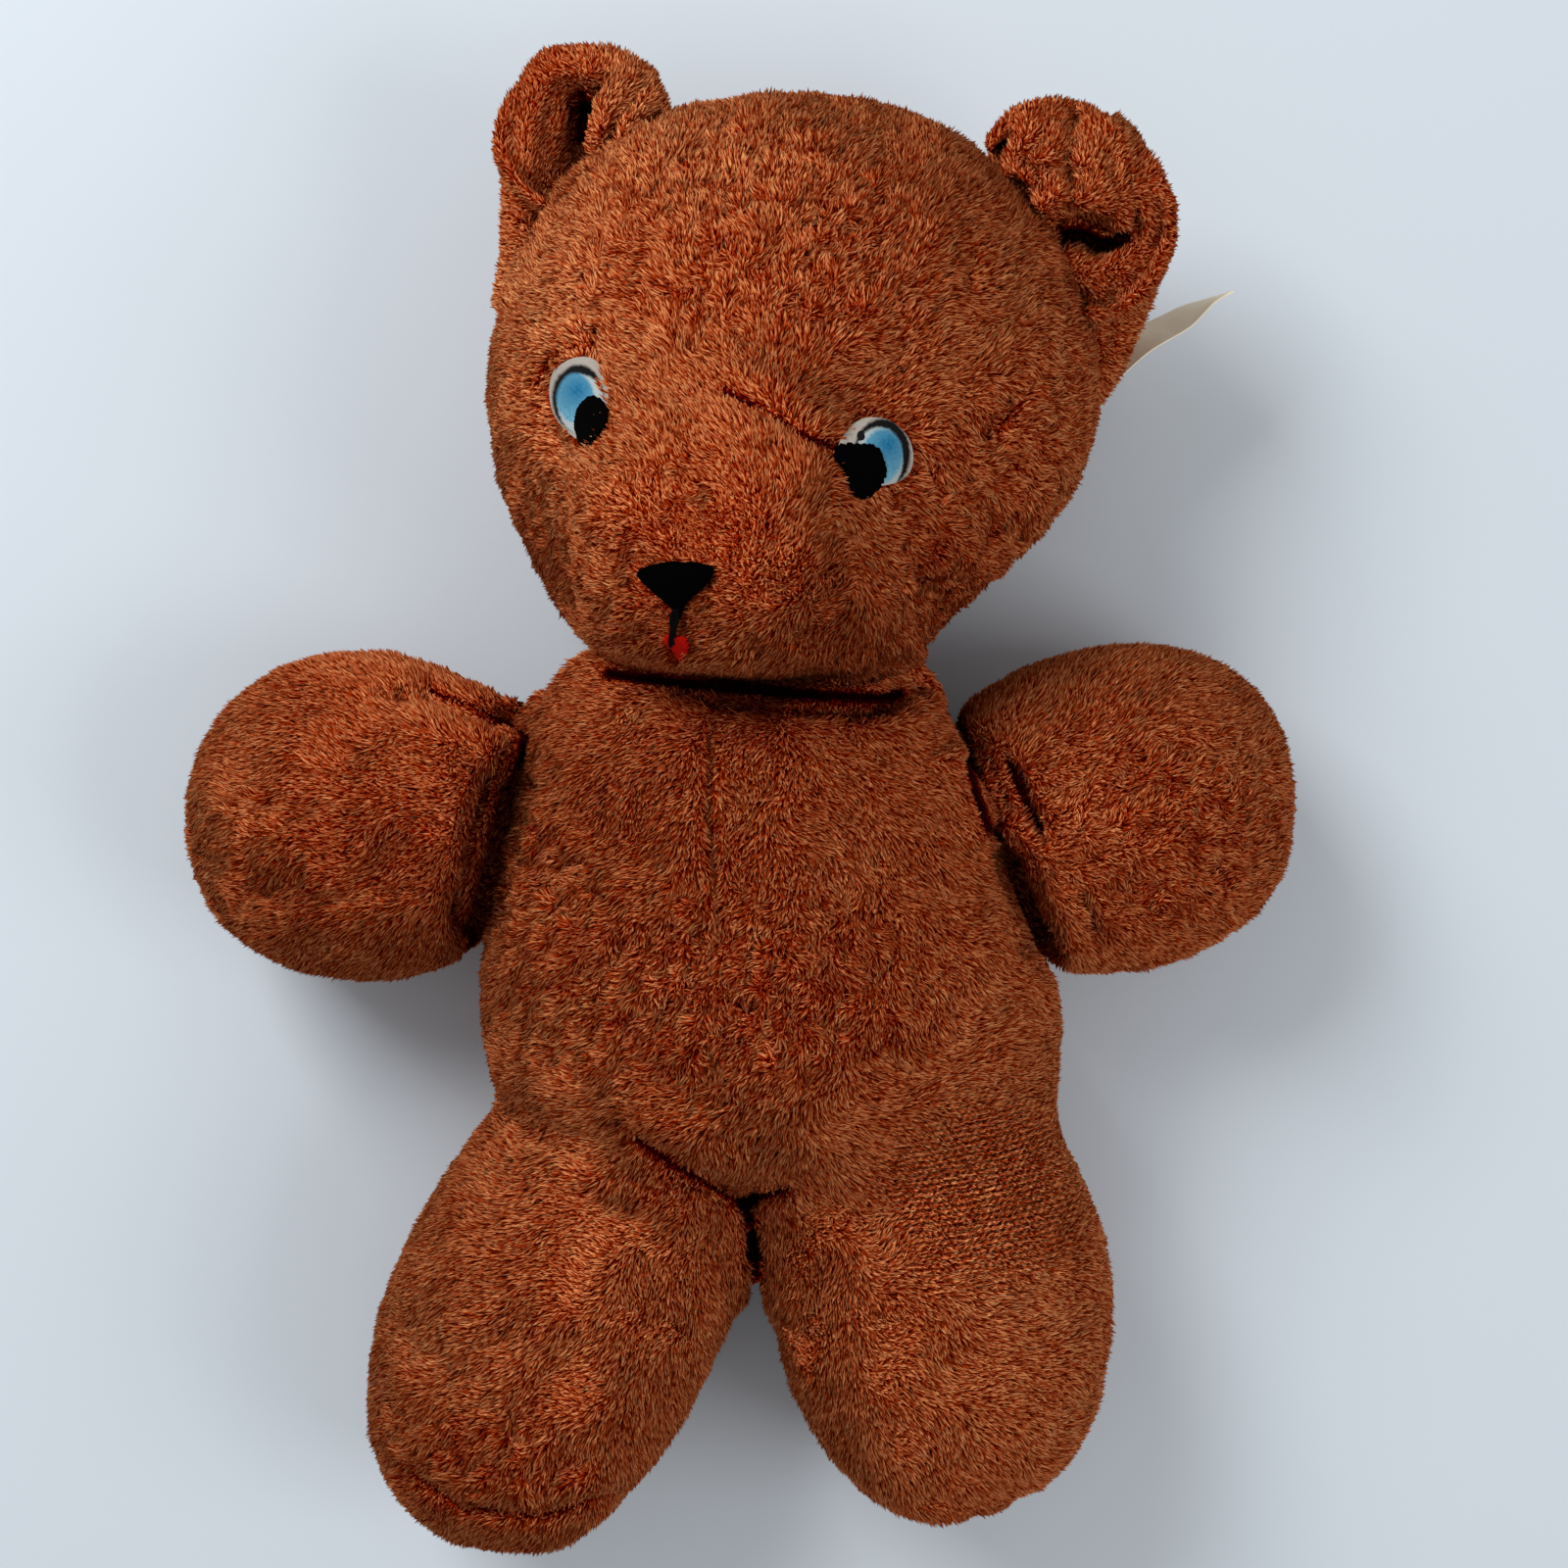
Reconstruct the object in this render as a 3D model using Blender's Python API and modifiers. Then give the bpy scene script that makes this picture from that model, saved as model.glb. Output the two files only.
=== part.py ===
"""A plush teddy bear lying on its back.

The bear is sewn from plush cloth panels over loose stuffing. It lies on
the ground plane Z = 0 with its belly towards +Z, the top of its head
towards +Y, and +X to the right of someone who looks down at its face.
The origin is below the middle of its outline, on the ground.

Every rounded form (head, torso, arm, leg) is a sphere whose rings are
moved to measured sections and then subdivided. The cloth is that form
made hollow, cut into panels along its seams. The stuffing is the same
form, set in by the thickness of the cloth.
"""

import math

import bmesh
import bpy
from mathutils import Matrix
from mathutils import Vector
from mathutils.bvhtree import BVHTree

MM = 0.001

# Overall sizes, in millimetres
HEAD_WIDTH = 176.0
HEAD_LENGTH = 169.0
HEAD_DEPTH = 138.0
TORSO_WIDTH = 168.0
TORSO_LENGTH = 161.0
TORSO_DEPTH = 120.0
ARM_LENGTH = 108.0
ARM_WIDTH = 97.0
ARM_DEPTH = 90.0
LEG_LEFT_LENGTH = 144.0
LEG_RIGHT_LENGTH = 135.0
LEG_WIDTH = 104.0
LEG_DEPTH = 102.0

# Cloth, seams and the room between pieces
CLOTH = 4.0
EAR_CLOTH = 3.0
SEAM_GAP = 0.3
SEAT_GAP = 0.3
STUFFING_GAP = 0.9

# Where the forms meet: how far one is pressed into the other
NECK_PRESS = 15.5
ARM_PRESS = 17.0
HIP_PRESS = 41.0
CROTCH_GAP = 1.8

# How far each form is flattened by its own weight on the ground
HEAD_SAG = 8.0
TORSO_SAG = 6.0
ARM_SAG = 4.0
LEG_SAG = 6.0

# Middle lines of the head, the belly seam and the crotch
TORSO_X = 6.0
TORSO_Y = -35.5
HEAD_X = 15.5
BELLY_SEAM_X = -8.0
CROTCH_X = 3.6
ARM_LEFT_Y = -7.5
ARM_RIGHT_Y = -5.0

# Seams between front and back panels, above the ground
HEAD_SEAM_Z = 62.0
TORSO_SEAM_Z = 52.0
ARM_SEAM_Z = 42.0
LEG_SEAM_Z = 46.0
SOLE_RISE = 12.0

# Muzzle: a round rise on the front of the head
MUZZLE_OUT = 30.0
MUZZLE_WIDTH = 118.0
MUZZLE_LENGTH = 112.0

# Ears: cups of two layers, sewn into the seam round the head
EAR_LEFT_WIDTH = 58.0
EAR_LEFT_HEIGHT = 33.0
EAR_RIGHT_WIDTH = 66.0
EAR_RIGHT_HEIGHT = 35.0
EAR_DEPTH = 26.0
EAR_ROOT = 8.0

# Face pieces
EYE_WIDTH = 15.6
EYE_LENGTH = 22.0
EYE_RAISE = 1.4
PUPIL_WIDTH = 8.2
PUPIL_LENGTH = 14.0
PUPIL_RAISE = 1.2
NOSE_WIDTH = 19.4
NOSE_LENGTH = 11.0
NOSE_RAISE = 2.4
STITCH_WIDTH = 1.8
STITCH_LENGTH = 7.0
STITCH_RAISE = 1.0
TONGUE_WIDTH = 5.0
TONGUE_LENGTH = 7.0
TONGUE_RAISE = 1.0

# Half the height of the blocks that the face pieces are cut from
PATCH_REACH = 14.0

# Sewn-in label
TAG_WIDTH = 16.0
TAG_LENGTH = 42.0
TAG_CLOTH = 0.7

# Sections. Each row is one ring: how far along the form, then its reach
# to the left, right, back and front, all as shares of half the form's
# own length, width and depth. END rows are the two ends: how far they
# lie to the right and to the front.
HEAD_RINGS = (
    (0.92, 0.45, 0.42, 0.42, 0.38),
    (0.78, 0.68, 0.62, 0.66, 0.62),
    (0.54, 0.86, 0.83, 0.86, 0.82),
    (0.26, 0.97, 0.96, 0.98, 0.94),
    (-0.04, 1.00, 1.00, 1.00, 1.00),
    (-0.32, 0.96, 0.95, 0.98, 1.00),
    (-0.58, 0.85, 0.73, 0.84, 0.98),
    (-0.80, 0.73, 0.46, 0.60, 0.92),
    (-0.95, 0.60, 0.34, 0.36, 0.76),
)
HEAD_ENDS = ((0.00, 0.00), (-0.06, 0.26))
TORSO_RINGS = (
    (0.90, 0.68, 0.52, 0.44, 0.54),
    (0.66, 0.80, 0.68, 0.72, 0.78),
    (0.36, 0.88, 0.80, 0.92, 0.92),
    (0.04, 0.96, 0.97, 1.00, 1.00),
    (-0.28, 0.96, 1.03, 1.00, 1.02),
    (-0.57, 0.94, 1.04, 0.97, 1.00),
    (-0.79, 0.80, 0.98, 0.82, 0.86),
    (-0.92, 0.42, 0.54, 0.50, 0.54),
)
TORSO_ENDS = ((0.00, 0.00), (0.00, 0.00))
ARM_LEFT_RINGS = (
    (0.90, 0.50, 0.54, 0.50, 0.50),
    (0.58, 0.88, 0.86, 0.90, 0.90),
    (0.22, 1.01, 0.98, 1.01, 1.01),
    (-0.16, 1.01, 1.01, 1.01, 1.00),
    (-0.52, 0.85, 0.88, 0.90, 0.88),
    (-0.84, 0.68, 0.66, 0.68, 0.66),
)
ARM_RIGHT_RINGS = (
    (0.91, 0.58, 0.50, 0.50, 0.50),
    (0.62, 0.88, 0.80, 0.88, 0.88),
    (0.26, 1.01, 0.98, 1.01, 1.01),
    (-0.12, 1.00, 1.02, 1.01, 1.00),
    (-0.50, 0.84, 0.97, 0.90, 0.88),
    (-0.84, 0.68, 0.80, 0.70, 0.66),
)
ARM_ENDS = ((0.0, 0.0), (0.0, 0.0))
LEG_LEFT_RINGS = (
    (0.80, 0.44, 0.80, 0.60, 0.56),
    (0.54, 0.67, 0.99, 0.86, 0.82),
    (0.26, 0.90, 1.01, 0.98, 0.96),
    (-0.02, 1.07, 0.94, 1.00, 1.00),
    (-0.29, 1.13, 0.79, 0.99, 1.00),
    (-0.53, 1.12, 0.60, 0.94, 0.98),
    (-0.75, 1.01, 0.36, 0.82, 0.92),
    (-0.92, 0.76, 0.07, 0.50, 0.64),
)
LEG_LEFT_ENDS = ((0.12, 0.00), (-0.38, 0.06))
LEG_RIGHT_RINGS = (
    (0.80, 0.74, 0.64, 0.58, 0.56),
    (0.50, 0.98, 0.84, 0.84, 0.82),
    (0.22, 1.01, 0.96, 0.98, 0.96),
    (-0.06, 0.94, 0.99, 1.00, 1.00),
    (-0.31, 0.87, 0.96, 0.99, 1.00),
    (-0.54, 0.77, 0.90, 0.94, 0.98),
    (-0.76, 0.57, 0.74, 0.80, 0.90),
    (-0.93, 0.32, 0.45, 0.50, 0.62),
)
LEG_RIGHT_ENDS = ((0.06, 0.00), (0.04, 0.06))

# The outermost inner reach of the legs, which keeps them apart
LEG_INNER_REACH = 1.0

PLUSH_BROWN = (0.270, 0.062, 0.019)
PLUSH_LIGHT = (0.330, 0.088, 0.030)
PLUSH_DARK = (0.190, 0.040, 0.012)
STUFFING_WHITE = (0.620, 0.580, 0.500)
FELT_WHITE = (0.720, 0.700, 0.660)
FELT_BLACK = (0.012, 0.011, 0.011)
THREAD_BLACK = (0.010, 0.009, 0.009)
FELT_RED = (0.420, 0.020, 0.014)
LABEL_CREAM = (0.640, 0.560, 0.440)

for old in list(bpy.data.objects):
    bpy.data.objects.remove(old, do_unlink=True)

bear = bpy.data.collections.new("teddy_bear")
guides = bpy.data.collections.new("cutters")
bpy.context.scene.collection.children.link(bear)
bpy.context.scene.collection.children.link(guides)

root = bpy.data.objects.new("teddy_bear_frame", None)
bear.objects.link(root)


def material(name, colour, roughness, sheen=0.0):
    """A plain cloth-like material."""
    made = bpy.data.materials.new(name)
    made.use_nodes = True
    shader = made.node_tree.nodes["Principled BSDF"]
    shader.inputs["Base Color"].default_value = (*colour, 1.0)
    shader.inputs["Roughness"].default_value = roughness
    shader.inputs["Metallic"].default_value = 0.0
    shader.inputs["Sheen Weight"].default_value = sheen
    return made


def add_object(name, mesh, collection):
    made = bpy.data.objects.new(name, mesh)
    collection.objects.link(made)
    return made


def hide_as_guide(thing):
    thing.hide_render = True
    thing.display_type = "WIRE"


def add_piece(name, mesh, colour, roughness=0.9, sheen=0.3):
    """A named piece of the bear with its own material."""
    mesh = mesh.copy()
    mesh.name = name
    mesh.materials.clear()
    mesh.materials.append(material(name + "_material", colour, roughness, sheen))
    made = add_object(name, mesh, bear)
    made.parent = root
    return made


def ring_number(vert, heights):
    return min(range(len(heights)), key=lambda n: abs(heights[n] - vert.co.z))


def stretched(value, power=0.94):
    """Round an ellipse's side out a little, as stuffing does."""
    return math.copysign(abs(value) ** power, value)


def form_mesh(name, rings, ends, centre, size, around, turned=False):
    """A sphere whose rings become the given sections.

    The form runs along Y from its far end down, or along X when turned.
    Its centre and size are in millimetres: along, across and deep.
    """
    bm = bmesh.new()
    count = len(rings) + 1
    bmesh.ops.create_uvsphere(bm, u_segments=around, v_segments=count, radius=1.0)
    heights = [math.cos(math.pi * n / count) for n in range(count + 1)]
    half = [length / 2.0 for length in size]
    step = 2.0 * math.pi / around
    swell = 3.0 / (2.0 + math.cos(step))
    for vert in bm.verts:
        number = ring_number(vert, heights)
        if number in (0, count):
            right, front = ends[0] if number == 0 else ends[1]
            along = 1.0 if number == 0 else -1.0
            across = right
            deep = front
        else:
            along, left, right, back, front = rings[number - 1]
            angle = math.atan2(vert.co.y, vert.co.x)
            side = stretched(math.cos(angle)) * swell
            level = stretched(-math.sin(angle)) * swell
            across = side * (right if side > 0.0 else left)
            deep = level * (front if level > 0.0 else back)
        place = Vector((across * half[1], along * half[0], deep * half[2]))
        if turned:
            place = Vector((along * half[0], -across * half[1], deep * half[2]))
        vert.co = (place + Vector(centre)) * MM
    mesh = bpy.data.meshes.new(name + "_cage")
    bm.to_mesh(mesh)
    bm.free()
    cage = add_object(name + "_cage", mesh, guides)
    hide_as_guide(cage)
    smooth = cage.modifiers.new("Round", "SUBSURF")
    smooth.levels = 1
    smooth.render_levels = 1
    return cage


def read_mesh(thing, name):
    """The mesh of an object after its modifiers."""
    graph = bpy.context.evaluated_depsgraph_get()
    mesh = bpy.data.meshes.new_from_object(thing.evaluated_get(graph))
    mesh.name = name
    return mesh


def flatten_on_ground(mesh):
    """The weight of the bear flattens what would lie below Z = 0.

    The faces are split into triangles here, so that every copy of the
    form that is set in or out from it bends along the same edges.
    """
    bm = bmesh.new()
    bm.from_mesh(mesh)
    for vert in bm.verts:
        vert.co.z = max(vert.co.z, 0.0)
    bmesh.ops.triangulate(bm, faces=bm.faces[:])
    bm.to_mesh(mesh)
    bm.free()


def moved_along_normals(mesh, name, distance):
    """A copy of a closed mesh, set out (or in) by a distance."""
    bm = bmesh.new()
    bm.from_mesh(mesh)
    bm.normal_update()
    normals = [vert.normal.copy() for vert in bm.verts]
    for vert, normal in zip(bm.verts, normals):
        vert.co += normal * distance * MM
    made = bpy.data.meshes.new(name)
    bm.to_mesh(made)
    bm.free()
    return made


def core_mesh(cage, form, name):
    """The stuffing: the coarse cage with its points inside the cloth."""
    count = len(cage.data.vertices)
    inset = moved_along_normals(form, name + "_inset", -(CLOTH + STUFFING_GAP))
    made = cage.data.copy()
    made.name = name
    for number in range(count):
        made.vertices[number].co = inset.vertices[number].co
    low = (CLOTH + STUFFING_GAP) * MM
    for vert in made.vertices:
        vert.co.z = max(vert.co.z, low)
    bpy.data.meshes.remove(inset)
    return made


def shade_round(mesh):
    mesh.shade_smooth()
    mesh.set_sharp_from_angle(angle=math.radians(50.0))


def guide_from(mesh, name):
    made = add_object(name, mesh, guides)
    hide_as_guide(made)
    return made


def box_guide(name, low, high):
    """A box cutter between two corners, in millimetres."""
    bm = bmesh.new()
    bmesh.ops.create_cube(bm, size=1.0)
    for vert in bm.verts:
        for axis in range(3):
            share = vert.co[axis] + 0.5
            vert.co[axis] = (low[axis] + share * (high[axis] - low[axis])) * MM
    mesh = bpy.data.meshes.new(name)
    bm.to_mesh(mesh)
    bm.free()
    return guide_from(mesh, name)


def boolean(thing, operation, other, solver="EXACT"):
    made = thing.modifiers.new(operation.title(), "BOOLEAN")
    made.operation = operation
    made.object = other
    made.solver = solver
    return made


def panel(name, form, box, colour, cutters=()):
    """One cloth panel: the hollow form inside a box, less its neighbours.

    The hollow form is two nested surfaces, on which the exact solver
    loses some of the panels, so these cuts use the manifold solver.
    """
    made = add_piece(name, form, colour)
    shade_round(made.data)
    cloth = made.modifiers.new("Cloth", "SOLIDIFY")
    cloth.thickness = CLOTH * MM
    cloth.offset = -1.0
    boolean(made, "INTERSECT", box, "MANIFOLD")
    for cutter in cutters:
        boolean(made, "DIFFERENCE", cutter, "MANIFOLD")
    return made


def stuffing(name, mesh, cutters=()):
    made = add_piece(name, mesh, STUFFING_WHITE, 1.0, 0.0)
    for cutter in cutters:
        boolean(made, "DIFFERENCE", cutter)
    return made


def muzzle_lift(mesh, centre):
    """Raise the muzzle out of the front of the head."""
    for vert in mesh.vertices:
        across = (vert.co.x / MM - centre[0]) / (MUZZLE_WIDTH / 2.0)
        along = (vert.co.y / MM - centre[1]) / (MUZZLE_LENGTH / 2.0)
        reach = math.hypot(across, along)
        height = vert.co.z / MM - HEAD_SEAM_Z
        if reach < 1.0 and height > 0.0:
            lift = (1.0 - reach * reach) ** 1.6
            lift *= min(1.0, height / 30.0)
            vert.co.z += lift * MUZZLE_OUT * MM
    mesh.update()


# Places that follow from the sizes above
torso_top = TORSO_Y + TORSO_LENGTH / 2.0
torso_bottom = TORSO_Y - TORSO_LENGTH / 2.0
torso_z = TORSO_DEPTH / 2.0 - TORSO_SAG
head_y = torso_top - NECK_PRESS + HEAD_LENGTH / 2.0
head_z = HEAD_DEPTH / 2.0 - HEAD_SAG
arm_z = ARM_DEPTH / 2.0 - ARM_SAG
leg_z = LEG_DEPTH / 2.0 - LEG_SAG
arm_left_x = TORSO_X - TORSO_WIDTH / 2.0 + ARM_PRESS - ARM_LENGTH / 2.0 + 7.0
arm_right_x = TORSO_X + TORSO_WIDTH / 2.0 - ARM_PRESS + ARM_LENGTH / 2.0 - 19.0
leg_inner = CROTCH_GAP / 2.0 + LEG_INNER_REACH * LEG_WIDTH / 2.0
leg_left_x = CROTCH_X - leg_inner
leg_right_x = CROTCH_X + leg_inner
leg_left_y = torso_bottom + HIP_PRESS - LEG_LEFT_LENGTH / 2.0
leg_right_y = torso_bottom + HIP_PRESS - LEG_RIGHT_LENGTH / 2.0
muzzle_at = (HEAD_X - 0.29 * HEAD_WIDTH / 2.0, head_y - 0.56 * HEAD_LENGTH / 2.0)

# Rounded forms
head_cage = form_mesh(
    "head",
    HEAD_RINGS,
    HEAD_ENDS,
    (HEAD_X, head_y, head_z),
    (HEAD_LENGTH, HEAD_WIDTH, HEAD_DEPTH),
    14,
)
head_form = read_mesh(head_cage, "head_form")
muzzle_lift(head_form, muzzle_at)
flatten_on_ground(head_form)
torso_cage = form_mesh(
    "torso",
    TORSO_RINGS,
    TORSO_ENDS,
    (TORSO_X, TORSO_Y, torso_z),
    (TORSO_LENGTH, TORSO_WIDTH, TORSO_DEPTH),
    12,
)
torso_form = read_mesh(torso_cage, "torso_form")
flatten_on_ground(torso_form)


def limb_form(name, rings, ends, centre, size, turned):
    cage = form_mesh(name, rings, ends, centre, size, 10, turned)
    form = read_mesh(cage, name + "_form")
    flatten_on_ground(form)
    return cage, form


def mirrored_rings(rings):
    """The same sections run from the other end."""
    return tuple((-row[0], *row[1:]) for row in reversed(rings))


arm_left_cage, arm_left_form = limb_form(
    "arm_left",
    mirrored_rings(ARM_LEFT_RINGS),
    ARM_ENDS,
    (arm_left_x, ARM_LEFT_Y, arm_z),
    (ARM_LENGTH, ARM_WIDTH, ARM_DEPTH),
    True,
)
arm_right_cage, arm_right_form = limb_form(
    "arm_right",
    ARM_RIGHT_RINGS,
    ARM_ENDS,
    (arm_right_x, ARM_RIGHT_Y, arm_z),
    (ARM_LENGTH, ARM_WIDTH, ARM_DEPTH),
    True,
)
leg_left_cage, leg_left_form = limb_form(
    "leg_left",
    LEG_LEFT_RINGS,
    LEG_LEFT_ENDS,
    (leg_left_x, leg_left_y, leg_z),
    (LEG_LEFT_LENGTH, LEG_WIDTH, LEG_DEPTH),
    False,
)
leg_right_cage, leg_right_form = limb_form(
    "leg_right",
    LEG_RIGHT_RINGS,
    LEG_RIGHT_ENDS,
    (leg_right_x, leg_right_y, leg_z),
    (LEG_RIGHT_LENGTH, LEG_WIDTH, LEG_DEPTH),
    False,
)

# Cutters that keep every neighbour the same distance away
def raised_head(name, distance):
    """The head's surface, set out by a distance."""
    return guide_from(moved_along_normals(head_form, name, distance), name)


head_clear = raised_head("head_clear", SEAT_GAP)
torso_clear = guide_from(
    moved_along_normals(torso_form, "torso_clear", SEAT_GAP), "torso_clear"
)
FAR = 600.0
GAP = SEAM_GAP / 2.0

# Head: a face panel above the nose, a chin panel below it, and the back
nose_seam_y = muzzle_at[1] + 0.02 * HEAD_LENGTH / 2.0
face_box = box_guide(
    "head_face_cut", (-FAR, nose_seam_y + GAP, HEAD_SEAM_Z + GAP), (FAR, FAR, FAR)
)
chin_box = box_guide(
    "head_chin_cut", (-FAR, -FAR, HEAD_SEAM_Z + GAP), (FAR, nose_seam_y - GAP, FAR)
)
head_back_box = box_guide("head_back_cut", (-FAR, -FAR, -FAR), (FAR, FAR, HEAD_SEAM_Z - GAP))
panel("head_face", head_form, face_box, PLUSH_BROWN)
panel("head_chin", head_form, chin_box, PLUSH_LIGHT)
panel("head_back", head_form, head_back_box, PLUSH_DARK)
head_core = moved_along_normals(head_form, "head_core", -(CLOTH + STUFFING_GAP))
stuffing("head_stuffing", head_core)

# Torso: two front panels with a seam down the belly, and the back
belly_left_box = box_guide(
    "torso_front_left_cut",
    (-FAR, -FAR, TORSO_SEAM_Z + GAP),
    (BELLY_SEAM_X - GAP, FAR, FAR),
)
belly_right_box = box_guide(
    "torso_front_right_cut",
    (BELLY_SEAM_X + GAP, -FAR, TORSO_SEAM_Z + GAP),
    (FAR, FAR, FAR),
)
torso_back_box = box_guide(
    "torso_back_cut", (-FAR, -FAR, -FAR), (FAR, FAR, TORSO_SEAM_Z - GAP)
)
panel("torso_front_left", torso_form, belly_left_box, PLUSH_BROWN, (head_clear,))
panel("torso_front_right", torso_form, belly_right_box, PLUSH_LIGHT, (head_clear,))
panel("torso_back", torso_form, torso_back_box, PLUSH_DARK, (head_clear,))
stuffing("torso_stuffing", core_mesh(torso_cage, torso_form, "torso_core"), (head_clear,))

# Arms: a front and a back panel each
arm_front_box = box_guide("arm_front_cut", (-FAR, -FAR, ARM_SEAM_Z + GAP), (FAR, FAR, FAR))
arm_back_box = box_guide("arm_back_cut", (-FAR, -FAR, -FAR), (FAR, FAR, ARM_SEAM_Z - GAP))
for side, cage, form in (
    ("left", arm_left_cage, arm_left_form),
    ("right", arm_right_cage, arm_right_form),
):
    beside = (torso_clear,)
    panel("arm_" + side + "_front", form, arm_front_box, PLUSH_BROWN, beside)
    panel("arm_" + side + "_back", form, arm_back_box, PLUSH_DARK, beside)
    stuffing("arm_" + side + "_stuffing", core_mesh(cage, form, side + "_arm_core"), beside)

# Legs: a front and a back panel each, and a sole across the foot
for side, cage, form, foot in (
    ("left", leg_left_cage, leg_left_form, leg_left_y - LEG_LEFT_LENGTH / 2.0),
    ("right", leg_right_cage, leg_right_form, leg_right_y - LEG_RIGHT_LENGTH / 2.0),
):
    beside = (torso_clear,)
    sole_y = foot + SOLE_RISE
    front_box = box_guide(
        "leg_" + side + "_front_cut",
        (-FAR, sole_y + GAP, LEG_SEAM_Z + GAP),
        (FAR, FAR, FAR),
    )
    back_box = box_guide(
        "leg_" + side + "_back_cut",
        (-FAR, sole_y + GAP, -FAR),
        (FAR, FAR, LEG_SEAM_Z - GAP),
    )
    sole_box = box_guide(
        "leg_" + side + "_sole_cut", (-FAR, -FAR, -FAR), (FAR, sole_y - GAP, FAR)
    )
    panel("leg_" + side + "_front", form, front_box, PLUSH_BROWN, beside)
    panel("leg_" + side + "_back", form, back_box, PLUSH_DARK, beside)
    panel("leg_" + side + "_sole", form, sole_box, PLUSH_LIGHT)
    stuffing("leg_" + side + "_stuffing", core_mesh(cage, form, side + "_leg_core"), beside)

# Ears
EAR_LIP = 0.30


def head_edge(direction):
    """Where a line from the middle of the head leaves it, at the seam."""
    tree = BVHTree.FromPolygons(
        [vert.co for vert in head_form.vertices],
        [face.vertices for face in head_form.polygons],
    )
    start = Vector((HEAD_X, head_y, HEAD_SEAM_Z)) * MM
    hit = tree.ray_cast(start, Vector((*direction, 0.0)).normalized())
    return hit[0] / MM


def ear_layer(name, width, height, depth, root_at, outward, thick):
    """A cup open to the front: a sphere cut off above its middle."""
    bm = bmesh.new()
    bmesh.ops.create_uvsphere(bm, u_segments=16, v_segments=9, radius=1.0)
    bmesh.ops.bisect_plane(
        bm,
        geom=bm.verts[:] + bm.edges[:] + bm.faces[:],
        plane_co=(0.0, 0.0, EAR_LIP),
        plane_no=(0.0, 0.0, 1.0),
        clear_outer=True,
    )
    along = Vector((-outward.y, outward.x, 0.0))
    for vert in bm.verts:
        across = stretched(vert.co.x, 0.86) * width / 2.0
        reach = stretched(vert.co.y, 0.86) * height
        up = vert.co.z * depth
        place = root_at + along * across + outward * reach + Vector((0.0, 0.0, up))
        vert.co = place * MM
    mesh = bpy.data.meshes.new(name)
    bm.to_mesh(mesh)
    bm.free()
    made = add_piece(name, mesh, PLUSH_BROWN)
    bpy.data.meshes.remove(mesh)
    shade_round(made.data)
    cloth = made.modifiers.new("Cloth", "SOLIDIFY")
    cloth.thickness = thick * MM
    cloth.offset = -1.0
    boolean(made, "DIFFERENCE", head_clear)
    return made


for side, width, height, root_way, outward in (
    ("left", EAR_LEFT_WIDTH, EAR_LEFT_HEIGHT, (-0.65, 0.76), (-0.58, 0.81)),
    ("right", EAR_RIGHT_WIDTH, EAR_RIGHT_HEIGHT, (0.88, 0.48), (0.60, 0.80)),
):
    lean = Vector((*outward, 0.0)).normalized()
    middle = head_edge(root_way) + lean * EAR_ROOT
    middle.z = HEAD_SEAM_Z + 14.0
    grow = height - EAR_ROOT
    inside = EAR_CLOTH + SEAT_GAP
    ear_layer("ear_" + side + "_back", width, grow, EAR_DEPTH, middle, lean, EAR_CLOTH)
    ear_layer(
        "ear_" + side + "_lining",
        width - 2.0 * inside,
        grow - inside,
        EAR_DEPTH - inside,
        middle,
        lean,
        EAR_CLOTH,
    )

# Face pieces, each lying on the surface of the head
head_tree = BVHTree.FromPolygons(
    [vert.co for vert in head_form.vertices],
    [face.vertices for face in head_form.polygons],
)


def face_point(across, along):
    """The head's surface at shares of its half width and half length."""
    place = Vector(
        (
            (HEAD_X + across * HEAD_WIDTH / 2.0) * MM,
            (head_y + along * HEAD_LENGTH / 2.0) * MM,
            0.5,
        )
    )
    hit = head_tree.ray_cast(place, Vector((0.0, 0.0, -1.0)))
    return hit[0], hit[1]


def face_patch(name, outline, at, turn, low, high, colour, roughness):
    """A thin piece of the given outline that follows the head's surface.

    It lies between two heights above the surface.
    """
    spot, normal = at
    curve = bpy.data.curves.new(name, "CURVE")
    curve.dimensions = "2D"
    curve.fill_mode = "BOTH"
    curve.extrude = PATCH_REACH * MM
    spline = curve.splines.new("POLY")
    spline.points.add(len(outline) - 1)
    for point, (across, along) in zip(spline.points, outline):
        point.co = (across * MM, along * MM, 0.0, 1.0)
    spline.use_cyclic_u = True
    flat = add_object(name + "_outline", curve, guides)
    lean = Vector((0.0, 0.0, 1.0)).rotation_difference(normal).to_matrix().to_4x4()
    spin = Matrix.Rotation(math.radians(turn), 4, "Z")
    flat.matrix_world = Matrix.Translation(spot) @ lean @ spin
    bpy.context.view_layer.update()
    graph = bpy.context.evaluated_depsgraph_get()
    mesh = bpy.data.meshes.new_from_object(flat.evaluated_get(graph))
    bm = bmesh.new()
    bm.from_mesh(mesh)
    bmesh.ops.remove_doubles(bm, verts=bm.verts[:], dist=0.00001)
    bmesh.ops.transform(bm, matrix=flat.matrix_world, verts=bm.verts[:])
    bmesh.ops.recalc_face_normals(bm, faces=bm.faces[:])
    bm.to_mesh(mesh)
    bm.free()
    made = add_piece(name, mesh, colour, roughness, 0.0)
    bpy.data.objects.remove(flat, do_unlink=True)
    boolean(made, "INTERSECT", raised_head(name + "_top", high))
    boolean(made, "DIFFERENCE", raised_head(name + "_bottom", low))
    return made


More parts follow.
